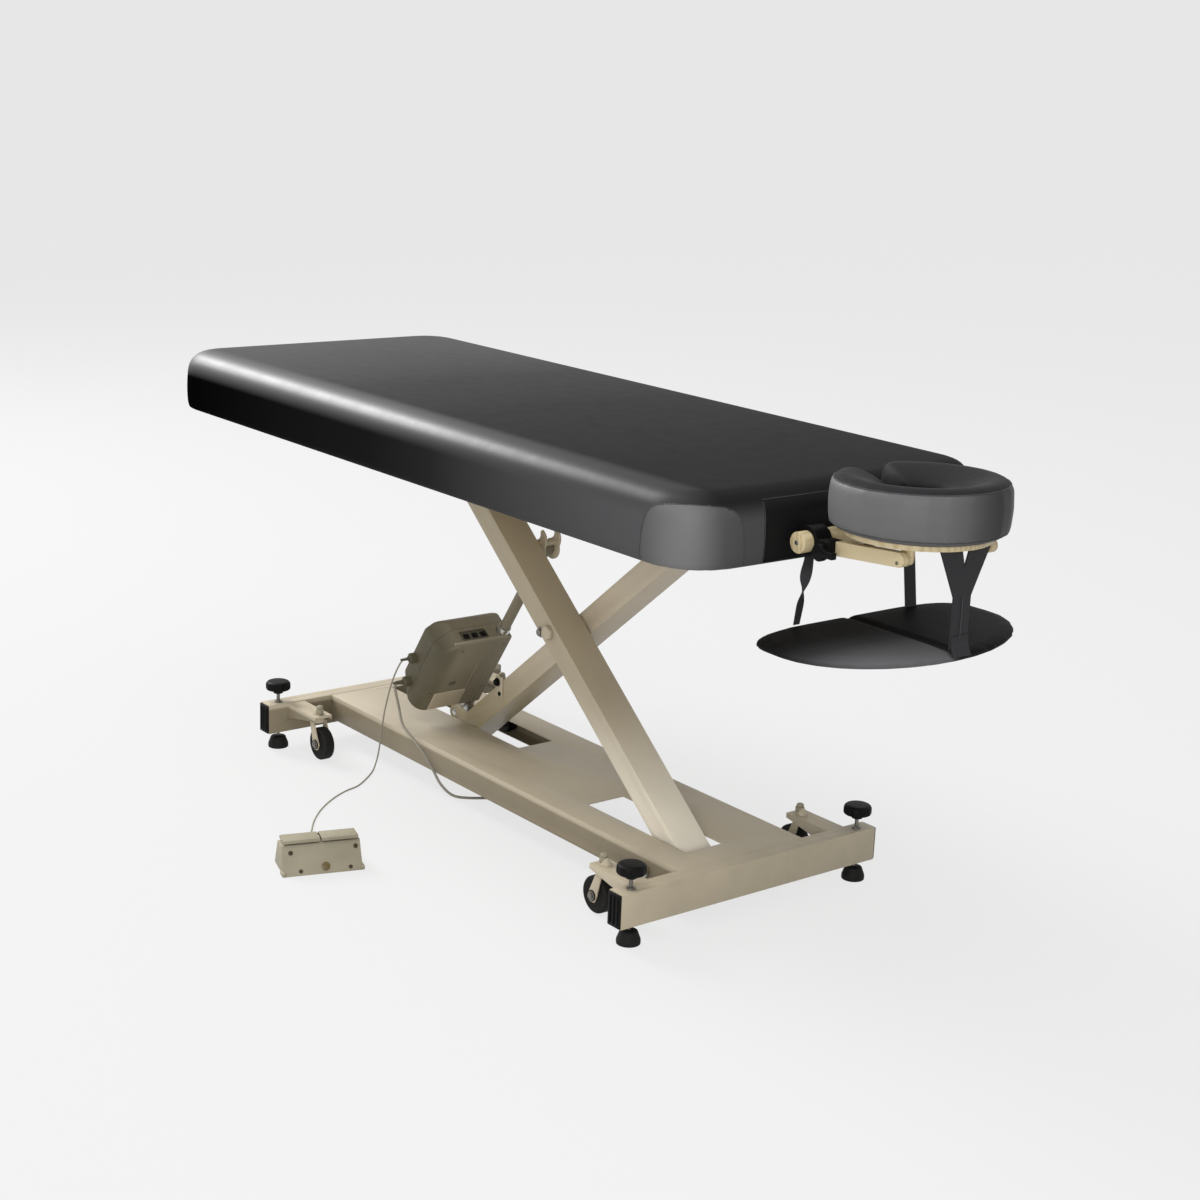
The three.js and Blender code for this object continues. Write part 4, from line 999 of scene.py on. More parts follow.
def make_top_cover():
    rings = []
    for inset, z in top_profile():
        radius = max(TOP_CORNER - inset, 26.0)
        ring = rounded_ring(TOP_HALF_X - inset, TOP_HALF_Y - inset, radius, z, 8,
                            per_side=(46, 16))
        rings.append(shifted(ring))
    cover = skin_piece("padded_top", rings)
    remesh_piece(cover, COVER_SQUARES * MM)
    held_below, free_above = COVER_HELD_BELOW * MM, COVER_FREE_ABOVE * MM

    def pinned(co):
        return 1.0 if co.z < held_below else max(
            COVER_LEAST_HOLD, 1 - (co.z - held_below) / (free_above - held_below))

    soften_cloth(cover, pinned, 2.5 * MM, pressure=3.0, frames=12)
    subdivide_smooth(cover)
    finish_piece(cover, "top", VINYL, ["cushion", "side_frame"])
    cover.data.materials.append(VINYL_CORNER_HIGHLIT)
    cover.data.materials.append(VINYL_PAINTED_SHADE)
    edge = patch_edge(cover)
    for face in cover.data.polygons:
        face.material_index = panel_number(face.center, edge)
    return cover


top_cover = make_top_cover()


# Seams: sewn lines that stand a hair proud of the vinyl
def seam(name, points, body, stitch=7 * MM, radius=0.55 * MM):
    """A fine welt with a row of stitches along it."""
    welt = tube_piece(f"{name}_welt", points, radius)
    parts = [welt]
    length = line_length(points)
    count = int(length / stitch)
    walked, index = 0.0, 0
    for k in range(count):
        goal = (k + 0.5) * stitch
        step = (points[index + 1] - points[index]).length
        while index < len(points) - 2 and walked + step < goal:
            walked += step
            index += 1
            step = (points[index + 1] - points[index]).length
        a, b = points[index], points[index + 1]
        direction = (b - a).normalized()
        middle = a + direction * (goal - walked)
        parts.append(rod_piece(f"{name}_stitch{k}", radius * 1.35,
                               middle - direction * stitch * 0.3,
                               middle + direction * stitch * 0.3, 6))
    whole = joined_piece(name, parts)
    smooth_piece(whole, 60)
    return finish_piece(whole, body, THREAD)


def make_top_seams():
    surface = surface_of(top_cover)
    for side, sign_y in (("near", -1), ("far", 1)):
        arch = smooth_line([round_corner(distance, z, sign_y) for distance, z in CORNER_PATCH])
        seam(f"corner_patch_seam_{side}", snapped(arch, surface, 0.3 * MM), "top")
        upright = [at(TOP_HALF_X, sign_y * END_PANEL_HALF, z)
                   for z in range(int(TOP_LOW) + 3, int(END_PANEL_TOP) + 1, 5)]
        seam(f"end_panel_seam_{side}", snapped(upright, surface, 0.3 * MM), "top")
    across = [at(TOP_HALF_X - 6, y, END_PANEL_TOP)
              for y in range(int(-END_PANEL_HALF), int(END_PANEL_HALF) + 1, 10)]
    seam("end_panel_seam_top", snapped(across, surface, 0.3 * MM), "top")


make_top_seams()


# Actuator case, in the actuator's own metres: along it, across it, and up its back
CASE_ALONG = (52.0, 275.0)
CASE_ACROSS = (-115.0, 60.0)
CASE_OUT = (-20.0, 70.0)
CASE_SPLIT = 25.0
CASE_GAP = 0.8
CASE_WALL = 2.5
CASE_ROUND = 10.0
SLOT_ACROSS = (-68.0, 2.0)
SLOT_OUT = (-10.0, 17.0)
STRUT_EYE = 14.0
STRUT_EYE_ACROSS = (27.0, 57.0)
STRUT_TUBE = 15.0


def strut_finish(piece, finish, replaces=(), smooth=35):
    """Moves a piece from the actuator's own directions to its place, and finishes it."""
    smooth_piece(piece, smooth)
    turn = Matrix((STRUT_AXIS, (0, 1, 0), -STRUT_SIDE)).transposed().to_4x4()
    piece.data.transform(Matrix.Translation(at(*STRUT_LOW)) @ turn)
    finish_piece(piece, "actuator", finish, replaces)


def strut_block(name, along, across, out, rounded=0.0, segments=3):
    corners = [Vector(values) * MM for values in zip(along, across, out)]
    piece = box_piece(name, *corners)
    return bevel_piece(piece, rounded * MM, segments) if rounded else piece


def strut_rod(name, radius, start, end, sides=32, rounded=0.0):
    piece = rod_piece(name, radius * MM, Vector(start) * MM, Vector(end) * MM, sides)
    return bevel_piece(piece, rounded * MM, 2, 40) if rounded else piece


def case_form():
    """The outside of the closed case, with its shoulder and its slanted near back."""
    case = strut_block("case_form", CASE_ALONG, CASE_ACROSS, CASE_OUT)
    slice_off(case, (275 * MM, -80 * MM, 0), (45, -52, 0))
    slice_off(case, (60 * MM, -115 * MM, 30 * MM), (-1120, -8600, 8600))
    slice_off(case, (275 * MM, 0, 52 * MM), (18, 0, 40))
    bevel_edges(case, lambda end: end.y < -114 * MM and end.z < -19 * MM, 30 * MM, 8)
    return bevel_piece(case, CASE_ROUND * MM, 5, 14)


def make_case():
    case = case_form()
    tube_hole = strut_rod("tube_hole", STRUT_TUBE + 1, (255, 42, 0), (300, 42, 0), 40)
    neck_hole = strut_block("neck_hole", (30, 66), (26, 57.5), (-13, 13))
    slot_hole = strut_block("slot_hole", (264, 290), SLOT_ACROSS, SLOT_OUT, 5)
    cover = new_object("actuator_case_front", case.data.copy())
    slice_off(cover, (0, 0, CASE_SPLIT * MM), (0, 0, 1), closed=False)
    modified(cover, "SOLIDIFY", thickness=CASE_WALL * MM, offset=-1)
    cut_piece(cover, [tube_hole, neck_hole, slot_hole])
    shell = case
    shell.name = "actuator_case_back"
    slice_off(shell, (0, 0, (CASE_SPLIT + CASE_GAP) * MM), (0, 0, -1), closed=False)
    modified(shell, "SOLIDIFY", thickness=CASE_WALL * MM, offset=-1)
    strut_finish(cover, CASE_BEIGE, ["housing_cover"], 30)
    strut_finish(shell, CASE_BEIGE, ["housing_shell"], 30)

    # A pale beige rib along the case's top edge: a painted highlight on the rounded edge.
    highlight_lip = strut_rod("case_lip_painted_highlight", 3.2, (273.5, -92, -13.5), (273.5, 46, -13.5), 20, 1.5)
    # The slot's tray in darker beige: painted shade deepening the slot.
    tray = strut_block("slot_tray", (262, 271.5), (SLOT_ACROSS[0] - 4, SLOT_ACROSS[1] + 4),
                       (SLOT_OUT[0] - 4, SLOT_OUT[1] + 3), 1)
    strut_finish(highlight_lip, BEIGE)
    strut_finish(tray, BEIGE_DARK)
    for k, across in enumerate((-52, -30, -8)):
        jack = strut_block(f"slot_jack_{k}", (270, 273.5), (across - 7, across + 7), (-3, 10), 1.2)
        strut_finish(jack, BLACK)
    for name, along, out in (("pedal", 157, 55), ("mains", 95, 40)):
        socket = strut_block(f"{name}_socket", (along - 9, along + 9), (-131, -88),
                             (out - 9, out + 9), 2.2)
        collar = strut_rod(f"{name}_collar", 6, (along, -132, out), (along, -128, out), 24, 1)
        strut_finish(joined_piece(f"{name}_socket", [socket, collar]), CASE_BEIGE)
    for k, (along, across) in enumerate(((110, -98), (110, 44), (252, -66), (252, 44))):
        screw_head(f"case_screw_{k}", at(*strut_point(along, 20.2, across)), STRUT_SIDE,
                   3.2 * MM, "actuator")
    # A pale cream band low on the case's front: painted light where light bounced from the base
    # pan falls.
    painted_light_band = strut_block("case_foot_band_painted_light", (58, 112), (-86, -2), (-21.6, -18), 1.6)
    strut_finish(painted_light_band, CREAM)
    for k, across in enumerate((-6, 30)):
        rib = strut_block(f"case_rib_{k}", (62, 236), (across, across + 4), (-21.4, -18), 1)
        strut_finish(rib, CASE_BEIGE)
    mark = strut_block("case_mark", (136, 146), (-60, -42), (-21.2, -18), 1)
    strut_finish(mark, BEIGE_DARK)


def make_drive():
    """Gearbox and motor inside the case, and the eye that hangs on leg B's pin."""
    gearbox = strut_block("gearbox", (64, 98), (-80, 54), (-3, 50), 6)
    ribs = [strut_block(f"gear_rib_{k}", (66, 96), (across, across + 3), (-5, 52), 1)
            for k, across in enumerate((-60, -40, -20, 0))]
    motor = strut_rod("motor", 26, (96, -50, 24), (214, -50, 24), 40, 3)
    cap = strut_rod("motor_cap", 20, (210, -50, 24), (222, -50, 24), 40, 3)
    neck = strut_block("eye_neck", (0, 68), STRUT_EYE_ACROSS, (-11.5, 11.5), 1.5)
    eye = strut_rod("eye", STRUT_EYE, (0, STRUT_EYE_ACROSS[0], 0), (0, STRUT_EYE_ACROSS[1], 0),
                    40, 1)
    pin = strut_rod("eye_pin", 7.8, (0, 21, 0), (0, 63, 0), 24, 1)
    drive = joined_piece("actuator_drive", [gearbox, *ribs, motor, cap, neck, eye, pin])
    strut_finish(drive, STEEL, ["drive_unit"])


make_case()
make_drive()


# Levelling feet and casters
FOOT_PLACES = {"foot": -740.0, "head": 561.0, "near": -140.6, "far": 435.4}
CASTER_PLACES = {"foot": -614.0, "head": 435.0, "near": -104.6, "far": 399.4}
BAR_TOP = 108.0
BAR_BOTTOM = 40.0
LEVEL_TRAVEL = 12.0


def corner_place(places, corner):
    end, side = corner.split("_")
    return places[end] * MM, places[side] * MM


def make_levelling_foot(corner):
    """Fluted black knob on a threaded rod, with a rubber foot under the bar."""
    x, y = corner_place(FOOT_PLACES, corner)
    body = f"levelling_foot_{corner}"

    def turned(name, radius, low, high, sides=40):
        return rod_piece(name, radius * MM, (x, y, low * MM), (x, y, high * MM), sides)

    knob = turned(f"knob_{corner}", 28, 138, 158, 60)
    for z, width in ((158, 8), (138, 4)):
        bevel_edges(knob, lambda end: abs(end.z - z * MM) < 1e-5, width * MM, 5)
    flutes = []
    for k in range(10):
        turn = k * math.tau / 10
        fx, fy = x + 31.5 * MM * math.cos(turn), y + 31.5 * MM * math.sin(turn)
        flutes.append(rod_piece(f"flute_{k}", 6 * MM, (fx, fy, 130 * MM), (fx, fy, 170 * MM), 20))
    cut_piece(knob, flutes)
    hub = turned(f"knob_hub_{corner}", 11, 129, 140)
    bevel_piece(hub, 1.5 * MM, 2, 40)
    whole = smooth_piece(joined_piece(f"knob_{corner}", [knob, hub]), 40)
    finish_piece(whole, body, BLACK, [f"levelling_knob_{corner}"])

    rod = turned(f"threaded_rod_{corner}", 3.4, 14, 131, 24)
    threads = [turned(f"thread_{corner}_{k}", 3.9, 110 + 2 * k, 111 + 2 * k, 24)
               for k in range(9)]
    top_nut = turned(f"top_nut_{corner}", 9, BAR_TOP + 0.3, BAR_TOP + 3, 24)
    rod = joined_piece(f"threaded_rod_{corner}", [rod, *threads, bevel_piece(top_nut, 0.8 * MM)])
    finish_piece(smooth_piece(rod, 30), body, DARK_STEEL)

    foot = turned(f"rubber_foot_{corner}", 23, 0.2, 9)
    face_select(foot, lambda face: face.normal.z > 0.9)
    bpy.ops.mesh.extrude_region_move(TRANSFORM_OT_translate={"value": (0, 0, 17 * MM)})
    bpy.ops.transform.resize(value=(0.72, 0.72, 1), center_override=(x, y, 0))
    set_mode("OBJECT")
    bevel_piece(foot, 1.6 * MM, 3, 20)
    collar = turned(f"foot_collar_{corner}", 12, 20, BAR_BOTTOM - LEVEL_TRAVEL - 0.6, 24)
    finish_piece(smooth_piece(foot, 35), body, RUBBER,
                 [f"levelling_pad_{corner}"])
    finish_piece(smooth_piece(bevel_piece(collar, 1 * MM)), body, BLACK)


def make_caster_nut(corner):
    """The domed nut on top of a caster's stem."""
    x, y = corner_place(CASTER_PLACES, corner)
    nut = rod_piece(f"stem_nut_{corner}", 10 * MM, (x, y, 109 * MM), (x, y, 119.5 * MM), 6)
    dome = rod_piece(f"stem_dome_{corner}", 7.5 * MM, (x, y, 118 * MM), (x, y, 127 * MM), 24)
    bevel_piece(nut, 1 * MM)
    bevel_piece(dome, 4 * MM, 4)
    whole = smooth_piece(joined_piece(f"stem_nut_{corner}", [nut, dome]), 35)
    finish_piece(whole, f"fork_{corner}", BEIGE)


WHEEL_RADIUS = 37.0
WHEEL_HALF = 12.0


def make_wheel(corner):
    """Rubber tyre with a groove, on a ribbed plastic hub, with the fork's axle bolt."""
    low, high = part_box(f"caster_wheel_{corner}")
    middle = (Vector(low) + Vector(high)) / 2
    across = Vector((0, WHEEL_HALF * MM, 0))
    tyre = rod_piece(f"tyre_{corner}", WHEEL_RADIUS * MM, middle - across, middle + across, 64)
    bevel_piece(tyre, 4.5 * MM, 4, 60)
    face_select(tyre, lambda face: abs(face.normal.y) > 0.99)
    bpy.ops.mesh.inset(thickness=9 * MM, use_individual=True)
    bpy.ops.transform.resize(value=(1, 0.72, 1), center_override=middle)
    bpy.ops.mesh.inset(thickness=9 * MM, use_individual=True)
    bpy.ops.transform.resize(value=(1, 1.34, 1), center_override=middle)
    set_mode("OBJECT")
    smooth_piece(tyre, 35)
    finish_piece(tyre, f"wheel_{corner}", RUBBER, [f"caster_wheel_{corner}"])
    for sign in (-1, 1):
        side = Vector((0, sign, 0))
        hub = rod_piece(f"hub_ring_{corner}", 21 * MM, middle + side * 7 * MM,
                        middle + side * 9.5 * MM, 48)
        hole = rod_piece("hole", 16 * MM, middle + side * 5 * MM, middle + side * 12 * MM, 48)
        cut_piece(hub, [hole])
        bevel_piece(hub, 0.8 * MM, 2, 40)
        finish_piece(smooth_piece(hub), f"wheel_{corner}", DARK_STEEL)
        boss = rod_piece(f"fork_boss_{corner}", 11 * MM, middle + side * 16.8 * MM,
                         middle + side * 19 * MM, 32)
        bevel_piece(boss, 0.8 * MM, 2, 40)
        finish_piece(smooth_piece(boss), f"fork_{corner}", BLACK)
        hex_bolt(f"axle_bolt_{corner}", middle + side * 18.8 * MM, side, 12 * MM, 4.5 * MM,
                 f"fork_{corner}", DARK_STEEL)


def make_bar_cap(end, side):
    """Ribbed black cap pressed into an open bar end."""
    node = f"{end}_crossbar_cap_{side}"
    low, high = (Vector(corner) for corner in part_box(node))
    sign = -1 if side == "near" else 1
    face_y = low.y if side == "near" else high.y
    cap_y = sorted((face_y, face_y + sign * 4 * MM))
    rib_y = sorted((face_y, face_y + sign * 6 * MM))
    cap = box_piece(f"bar_cap_{end}_{side}", (low.x - 2 * MM, cap_y[0], low.z - 2 * MM),
                    (high.x + 2 * MM, cap_y[1], high.z + 2 * MM))
    plug = box_piece("plug", (low.x + 0.4 * MM, low.y + MM, low.z + 0.4 * MM),
                     (high.x - 0.4 * MM, high.y - MM, high.z - 0.4 * MM))
    parts = [bevel_piece(cap, 2 * MM, 3), bevel_piece(plug, 1 * MM)]
    width = high.x - low.x
    for k in range(3):
        rib_x = low.x + width * (k + 0.5) / 3
        rib = box_piece("rib", (rib_x - 2 * MM, rib_y[0], low.z + 4 * MM),
                        (rib_x + 2 * MM, rib_y[1], high.z - 4 * MM))
        parts.append(bevel_piece(rib, 1 * MM))
    whole = smooth_piece(joined_piece(f"bar_cap_{end}_{side}", parts))
    finish_piece(whole, "base", BLACK, [node])


# Rigid pieces that keep the drawing's shape, with rounded edges
PLATFORM_UNDERSIDE = 815.0
PLATFORM_TRIM = 3.0
FOUR_CORNERS = ("foot_near", "foot_far", "head_near", "head_far")
# (node, rounding, finish, slot, segments, angle)
RIGID_PIECES = (
    ("base_pan", 1.4, PAN_LIT_SHADED_COAT, "cream_powder_coat"),
    ("top_frame", 1.4, CREAM, "cream_powder_coat"),
    ("foot_crossbar", 1.2, PAN_LIT_SHADED_COAT, "cream_powder_coat"),
    ("head_crossbar", 1.2, CREAM, "cream_powder_coat"),
    ("leg_a", 2.6, LEG_A_LIT_SHADED_COAT, "cream_powder_coat", 3, 40),
    ("leg_b", 2.6, LEG_B_LIT_SHADED_COAT, "cream_powder_coat", 3, 40),
    ("actuator_horn", 1.2, CREAM, "cream_powder_coat", 2, 40),
    ("actuator_rod", 0.8, CASE_BEIGE, "beige_plastic", 2, 40),
    ("centre_pin", 0.9, CREAM, "cream_powder_coat", 2, 40),
    ("base_axle", 0.9, STEEL, "steel", 2, 40),
    ("top_axle", 0.9, STEEL, "steel", 2, 40),
    ("outer_tube", 0.8, STEEL, "steel", 2, 40),
    ("cradle_rod_near", 0.8, STEEL, "steel", 2, 40),
    ("cradle_rod_far", 0.8, STEEL, "steel", 2, 40),
    ("roller_shaft_low", 1.2, BLACK, "black_plastic", 2, 40),
    ("roller_shaft_high", 1.2, BLACK, "black_plastic", 2, 40),
)


def make_rigid_pieces():
    for node, width, finish, slot, *edges in RIGID_PIECES:
        eased(node, width * MM, finish, slot, *edges, flat_faces=node != "base_pan")
    for corner in FOUR_CORNERS:
        make_bar_cap(*corner.split("_"))
        make_wheel(corner)
        make_levelling_foot(corner)
        make_caster_nut(corner)
        eased(f"caster_fork_{corner}", 1.0 * MM, CREAM, "cream_powder_coat", 2, 40)
    eased("deck_board", 1.0 * MM, MAPLE, "maple")
    eased("cradle_dowel", 1.5 * MM, MAPLE_CROSS, "maple", 2, 40)
    platform = copy_of("cradle_platform", "cradle_platform_eased")
    for v in platform.data.vertices:
        if abs(v.co.z / MM - PLATFORM_UNDERSIDE) < 0.8:
            v.co.z += PLATFORM_TRIM * MM
    bevel_piece(platform, 2.0 * MM, 3, 40)
    finish_piece(smooth_piece(platform), "cradle_head", MAPLE, ["cradle_platform"])
    for side in ("near", "far"):
        eased(f"cradle_rail_{side}", 2.5 * MM, MAPLE, "maple", 3, 40)
        eased(f"cradle_clamp_{side}", 2.0 * MM, BLACK, "black_plastic", 3, 40)
        eased(f"cam_lever_{side}", 2.0 * MM, BLACK, "black_plastic", 3, 40)
    for side in ("left", "right"):
        eased(f"pedal_treadle_{side}", 1.5 * MM, BEIGE, "beige_plastic", 3, 40)
    eased("pedal_case", 3.0 * MM, BEIGE, "beige_plastic", 3, 30)


make_rigid_pieces()


# Soft pieces of the cradle
FACE_CENTRE = (931.0, 147.4)
FACE_GAP_TURN = math.radians(34)
FACE_LOW = 840.0
FACE_HIGH = 900.0
FACE_BOWL = 2.0
FACE_SEAM_LEVEL = 893.0
FACE_HOLE = 74.0
FACE_HOLE_SHRINK = 8.0
FACE_RIM_BAND = (58, 128)
FACE_HOLE_BAND = (64, 112)
FACE_SIDE_FROM = 104.0
FACE_RADIUS = 150.0
FACE_FOOT_SEAM = 838.0
FACE_HELD_BELOW = 832.0
FACE_LEAST_HOLD = 0.15
FACE_SEAM_STEPS = 96
PAD_TOP_LEVEL = 643.6
PAD_CREASED_ABOVE = 634.0
CREASE_Y = 139.0
CREASE_DEPTH = 5.5
CREASE_WIDTH = 9.0
STRAP_THICK = 1.6
STRAP_LOOP = 21.6
STRAP_LOOP_HOLE = 19.6
STRAP_STEPS = 28
DOWEL_X = 958.0
DOWEL_Z = 793.0


def share_between(low, high, value):
    return min(1, max(0, (value - low) / (high - low)))


def smooth_step(low, high, value):
    share = share_between(low, high, value)
    return share * share * (3 - 2 * share)


def rim_rise(x):
    """How far the rim swells above the drawing's cushion, more at its head end."""
    return 16 + 8 * share_between(790, 1080, x)


def make_face_pad():
    """Horseshoe cushion: firm sides in vinyl painted grey where light falls and darker towards the
    far end as painted shade, a crowned dark top, a sewn rim; the hole's wall is painted near black
    as shade.
    """
    face = copy_of("face_cushion", "face_pad")
    remesh_piece(face, 5 * MM)
    for v in face.data.vertices:
        raised = share_between(FACE_LOW, FACE_HIGH, v.co.z / MM)
        out = math.hypot(v.co.x / MM - FACE_CENTRE[0], v.co.y / MM - FACE_CENTRE[1])
        rim = smooth_step(*FACE_RIM_BAND, out)
        v.co.z += raised * (rim_rise(v.co.x / MM) * rim - FACE_BOWL * (1 - rim)) * MM
        hole_side = 1 - smooth_step(*FACE_HOLE_BAND, out)
        inwards = 1 - FACE_HOLE_SHRINK * raised * hole_side / max(out, 1)
        v.co.x = (FACE_CENTRE[0] + (v.co.x / MM - FACE_CENTRE[0]) * inwards) * MM
        v.co.y = (FACE_CENTRE[1] + (v.co.y / MM - FACE_CENTRE[1]) * inwards) * MM
    soften_cloth(face, lambda co: 1.0 if co.z < FACE_HELD_BELOW * MM else FACE_LEAST_HOLD,
                 5 * MM, 3.0, 14)
    subdivide_smooth(face)
    surface = surface_of(face)
    finish_piece(face, "cradle_head", VINYL_HEAD_LIT_SIDE, ["face_cushion"])
    face.data.materials.append(VINYL_RIM)
    face.data.materials.append(VINYL_PAINTED_SHADE)
    for side in face.data.polygons:
        out_x = side.center.x / MM - FACE_CENTRE[0]
        out_y = side.center.y / MM - FACE_CENTRE[1]
        out = math.hypot(out_x, out_y)
        in_gap = abs(math.atan2(out_y, -out_x)) < FACE_GAP_TURN * 0.8
        outer = (side.normal.x * out_x + side.normal.y * out_y) / max(out, 1) > -0.2
        seam_level = FACE_SEAM_LEVEL + rim_rise(side.center.x / MM)
        if out > FACE_SIDE_FROM and outer and side.center.z / MM < seam_level and not in_gap:
            side.material_index = 0
        else:
            # The hole's inner wall takes the near-black vinyl: painted shade inside the hole.
            side.material_index = 2 if out < FACE_HOLE and abs(side.normal.z) < 0.5 else 1
    for name in ("face_rim_seam", "face_foot_seam"):
        points = []
        for k in range(FACE_SEAM_STEPS + 1):
            share = k / FACE_SEAM_STEPS
            turn = FACE_GAP_TURN - math.pi + (math.tau - 2 * FACE_GAP_TURN) * share
            edge_x = FACE_CENTRE[0] + FACE_RADIUS * math.cos(turn)
            z = FACE_FOOT_SEAM if name == "face_foot_seam" else FACE_SEAM_LEVEL + rim_rise(edge_x)
            start = Vector((FACE_CENTRE[0] + 260 * math.cos(turn),
                            FACE_CENTRE[1] + 260 * math.sin(turn), z)) * MM
            inwards = Vector((-math.cos(turn), -math.sin(turn), 0))
            hit, normal, _, _ = surface.ray_cast(start, inwards)
            if hit is not None:
                points.append(hit + normal * 0.2 * MM)
        seam(name, points, "cradle_head", 6 * MM, 0.9 * MM)


def make_arm_pad():
    """The flat stuffed armrest, creased where its two halves fold."""
    pad = copy_of("armrest_sling", "arm_pad")
    slice_off(pad, (0, 0, PAD_TOP_LEVEL * MM), (0, 0, 1))
    remesh_piece(pad, 6 * MM)
    soften_cloth(pad, lambda co: 0.2, 3 * MM, 2.0, 10)
    subdivide_smooth(pad)
    for v in pad.data.vertices:
        if v.co.z > PAD_CREASED_ABOVE * MM:
            away = (v.co.y / MM - CREASE_Y) / CREASE_WIDTH
            v.co.z -= CREASE_DEPTH * MM * math.exp(-away * away)
    finish_piece(pad, "cradle_rails", SLING, ["armrest_sling"])


def ribbon(name, centres, halves, thickness):
    """A flat strap through centres, with half its width as a vector at each."""
    points = []
    for centre, half in zip(centres, halves):
        points += [centre - half, centre + half]
    faces = [(2 * k, 2 * k + 1, 2 * k + 3, 2 * k + 2) for k in range(len(centres) - 1)]
    strap = mesh_piece(name, points, faces)
    return smooth_piece(modified(strap, "SOLIDIFY", thickness=thickness * MM, offset=0), 50)


def make_rear_strap(name, top, foot, half_top, half_foot, twist):
    """A webbing strap from the dowel to the pad, turned over once on its way when twist is 1."""
    centres, halves = [], []
    for k in range(STRAP_STEPS + 1):
        share = k / STRAP_STEPS
        centres.append(top.lerp(foot, share))
        turn = twist * math.pi * smooth_step(0.2, 0.8, share)
        half = half_top + (half_foot - half_top) * share
        halves.append(Vector((half * math.sin(turn), half * math.cos(turn), 0)) * MM)
    strap = ribbon(name, centres, halves, STRAP_THICK)
    finish_piece(strap, "cradle_rails", WEBBING)
    loop = rod_piece(f"{name}_loop", STRAP_LOOP * MM, top + Vector((0, -half_top, 0)) * MM,
                     top + Vector((0, half_top, 0)) * MM, 40)
    return strap, loop


def make_straps():
    for name, top, foot, half_top, half_foot, twist in (
            ("rear_strap_near", at(DOWEL_X, -116, DOWEL_Z), at(947, -131, 643), 12, 7, 1),
            ("rear_strap_far", at(DOWEL_X, 118, DOWEL_Z), at(962, 135, 643), 14, 14, 0)):
        strap, loop = make_rear_strap(name, top, foot, half_top, half_foot, twist)
        hole = rod_piece("hole", STRAP_LOOP_HOLE * MM, top + Vector((0, -0.03, 0)),
                         top + Vector((0, 0.03, 0)), 40)
        cut_piece(loop, [hole])
        finish_piece(smooth_piece(loop), "cradle_rails", WEBBING)
    front = copy_of("sling_front_strap", "front_strap")
    for v in front.data.vertices:
        away = (v.co.y / MM - FACE_CENTRE[1])
        if v.co.z > 800 * MM:
            v.co.y += math.copysign(2 * MM, away)
            v.co.z += 2.6 * MM
            if abs(away) < 50:
                v.co.y = (FACE_CENTRE[1] + math.copysign(9, away)) * MM
        elif v.co.z > 700 * MM and abs(away) < 1:
            v.co.z = 786 * MM
    smooth_piece(front, 40)
    finish_piece_free(front, WEBBING, ["sling_front_strap"])
    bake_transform(front)
    over_edge = [at(1203, 0, 668), at(1204, 0, 652), at(1208, 0, 643), at(1213, 0, 634)]
    tab = ribbon("front_strap_tab", over_edge, [Vector((0, 0.021, 0))] * 4, 1.8)
    finish_piece(tab, "cradle_rails", WEBBING)
    middle = [at(1203.4, 0, z) for z in range(650, 736, 5)]
    line = tube_piece("front_strap_seam", middle, 0.9 * MM)
    finish_piece(line, "cradle_rails", THREAD)


make_face_pad()
make_arm_pad()
make_straps()


# Small hardware
PEDAL_LEAN = 28 / 55
PEDAL_NORMAL = (0.891, 0.454)


def pedal_front(across, z):
    """A point of the pedal's sloping front."""
    place = Vector((PEDAL_DEPTH / 2 - z * PEDAL_LEAN, across, z))
    place.rotate(Euler((0, 0, PEDAL_TURN)))
    return at(*(place + PEDAL_PLACE))


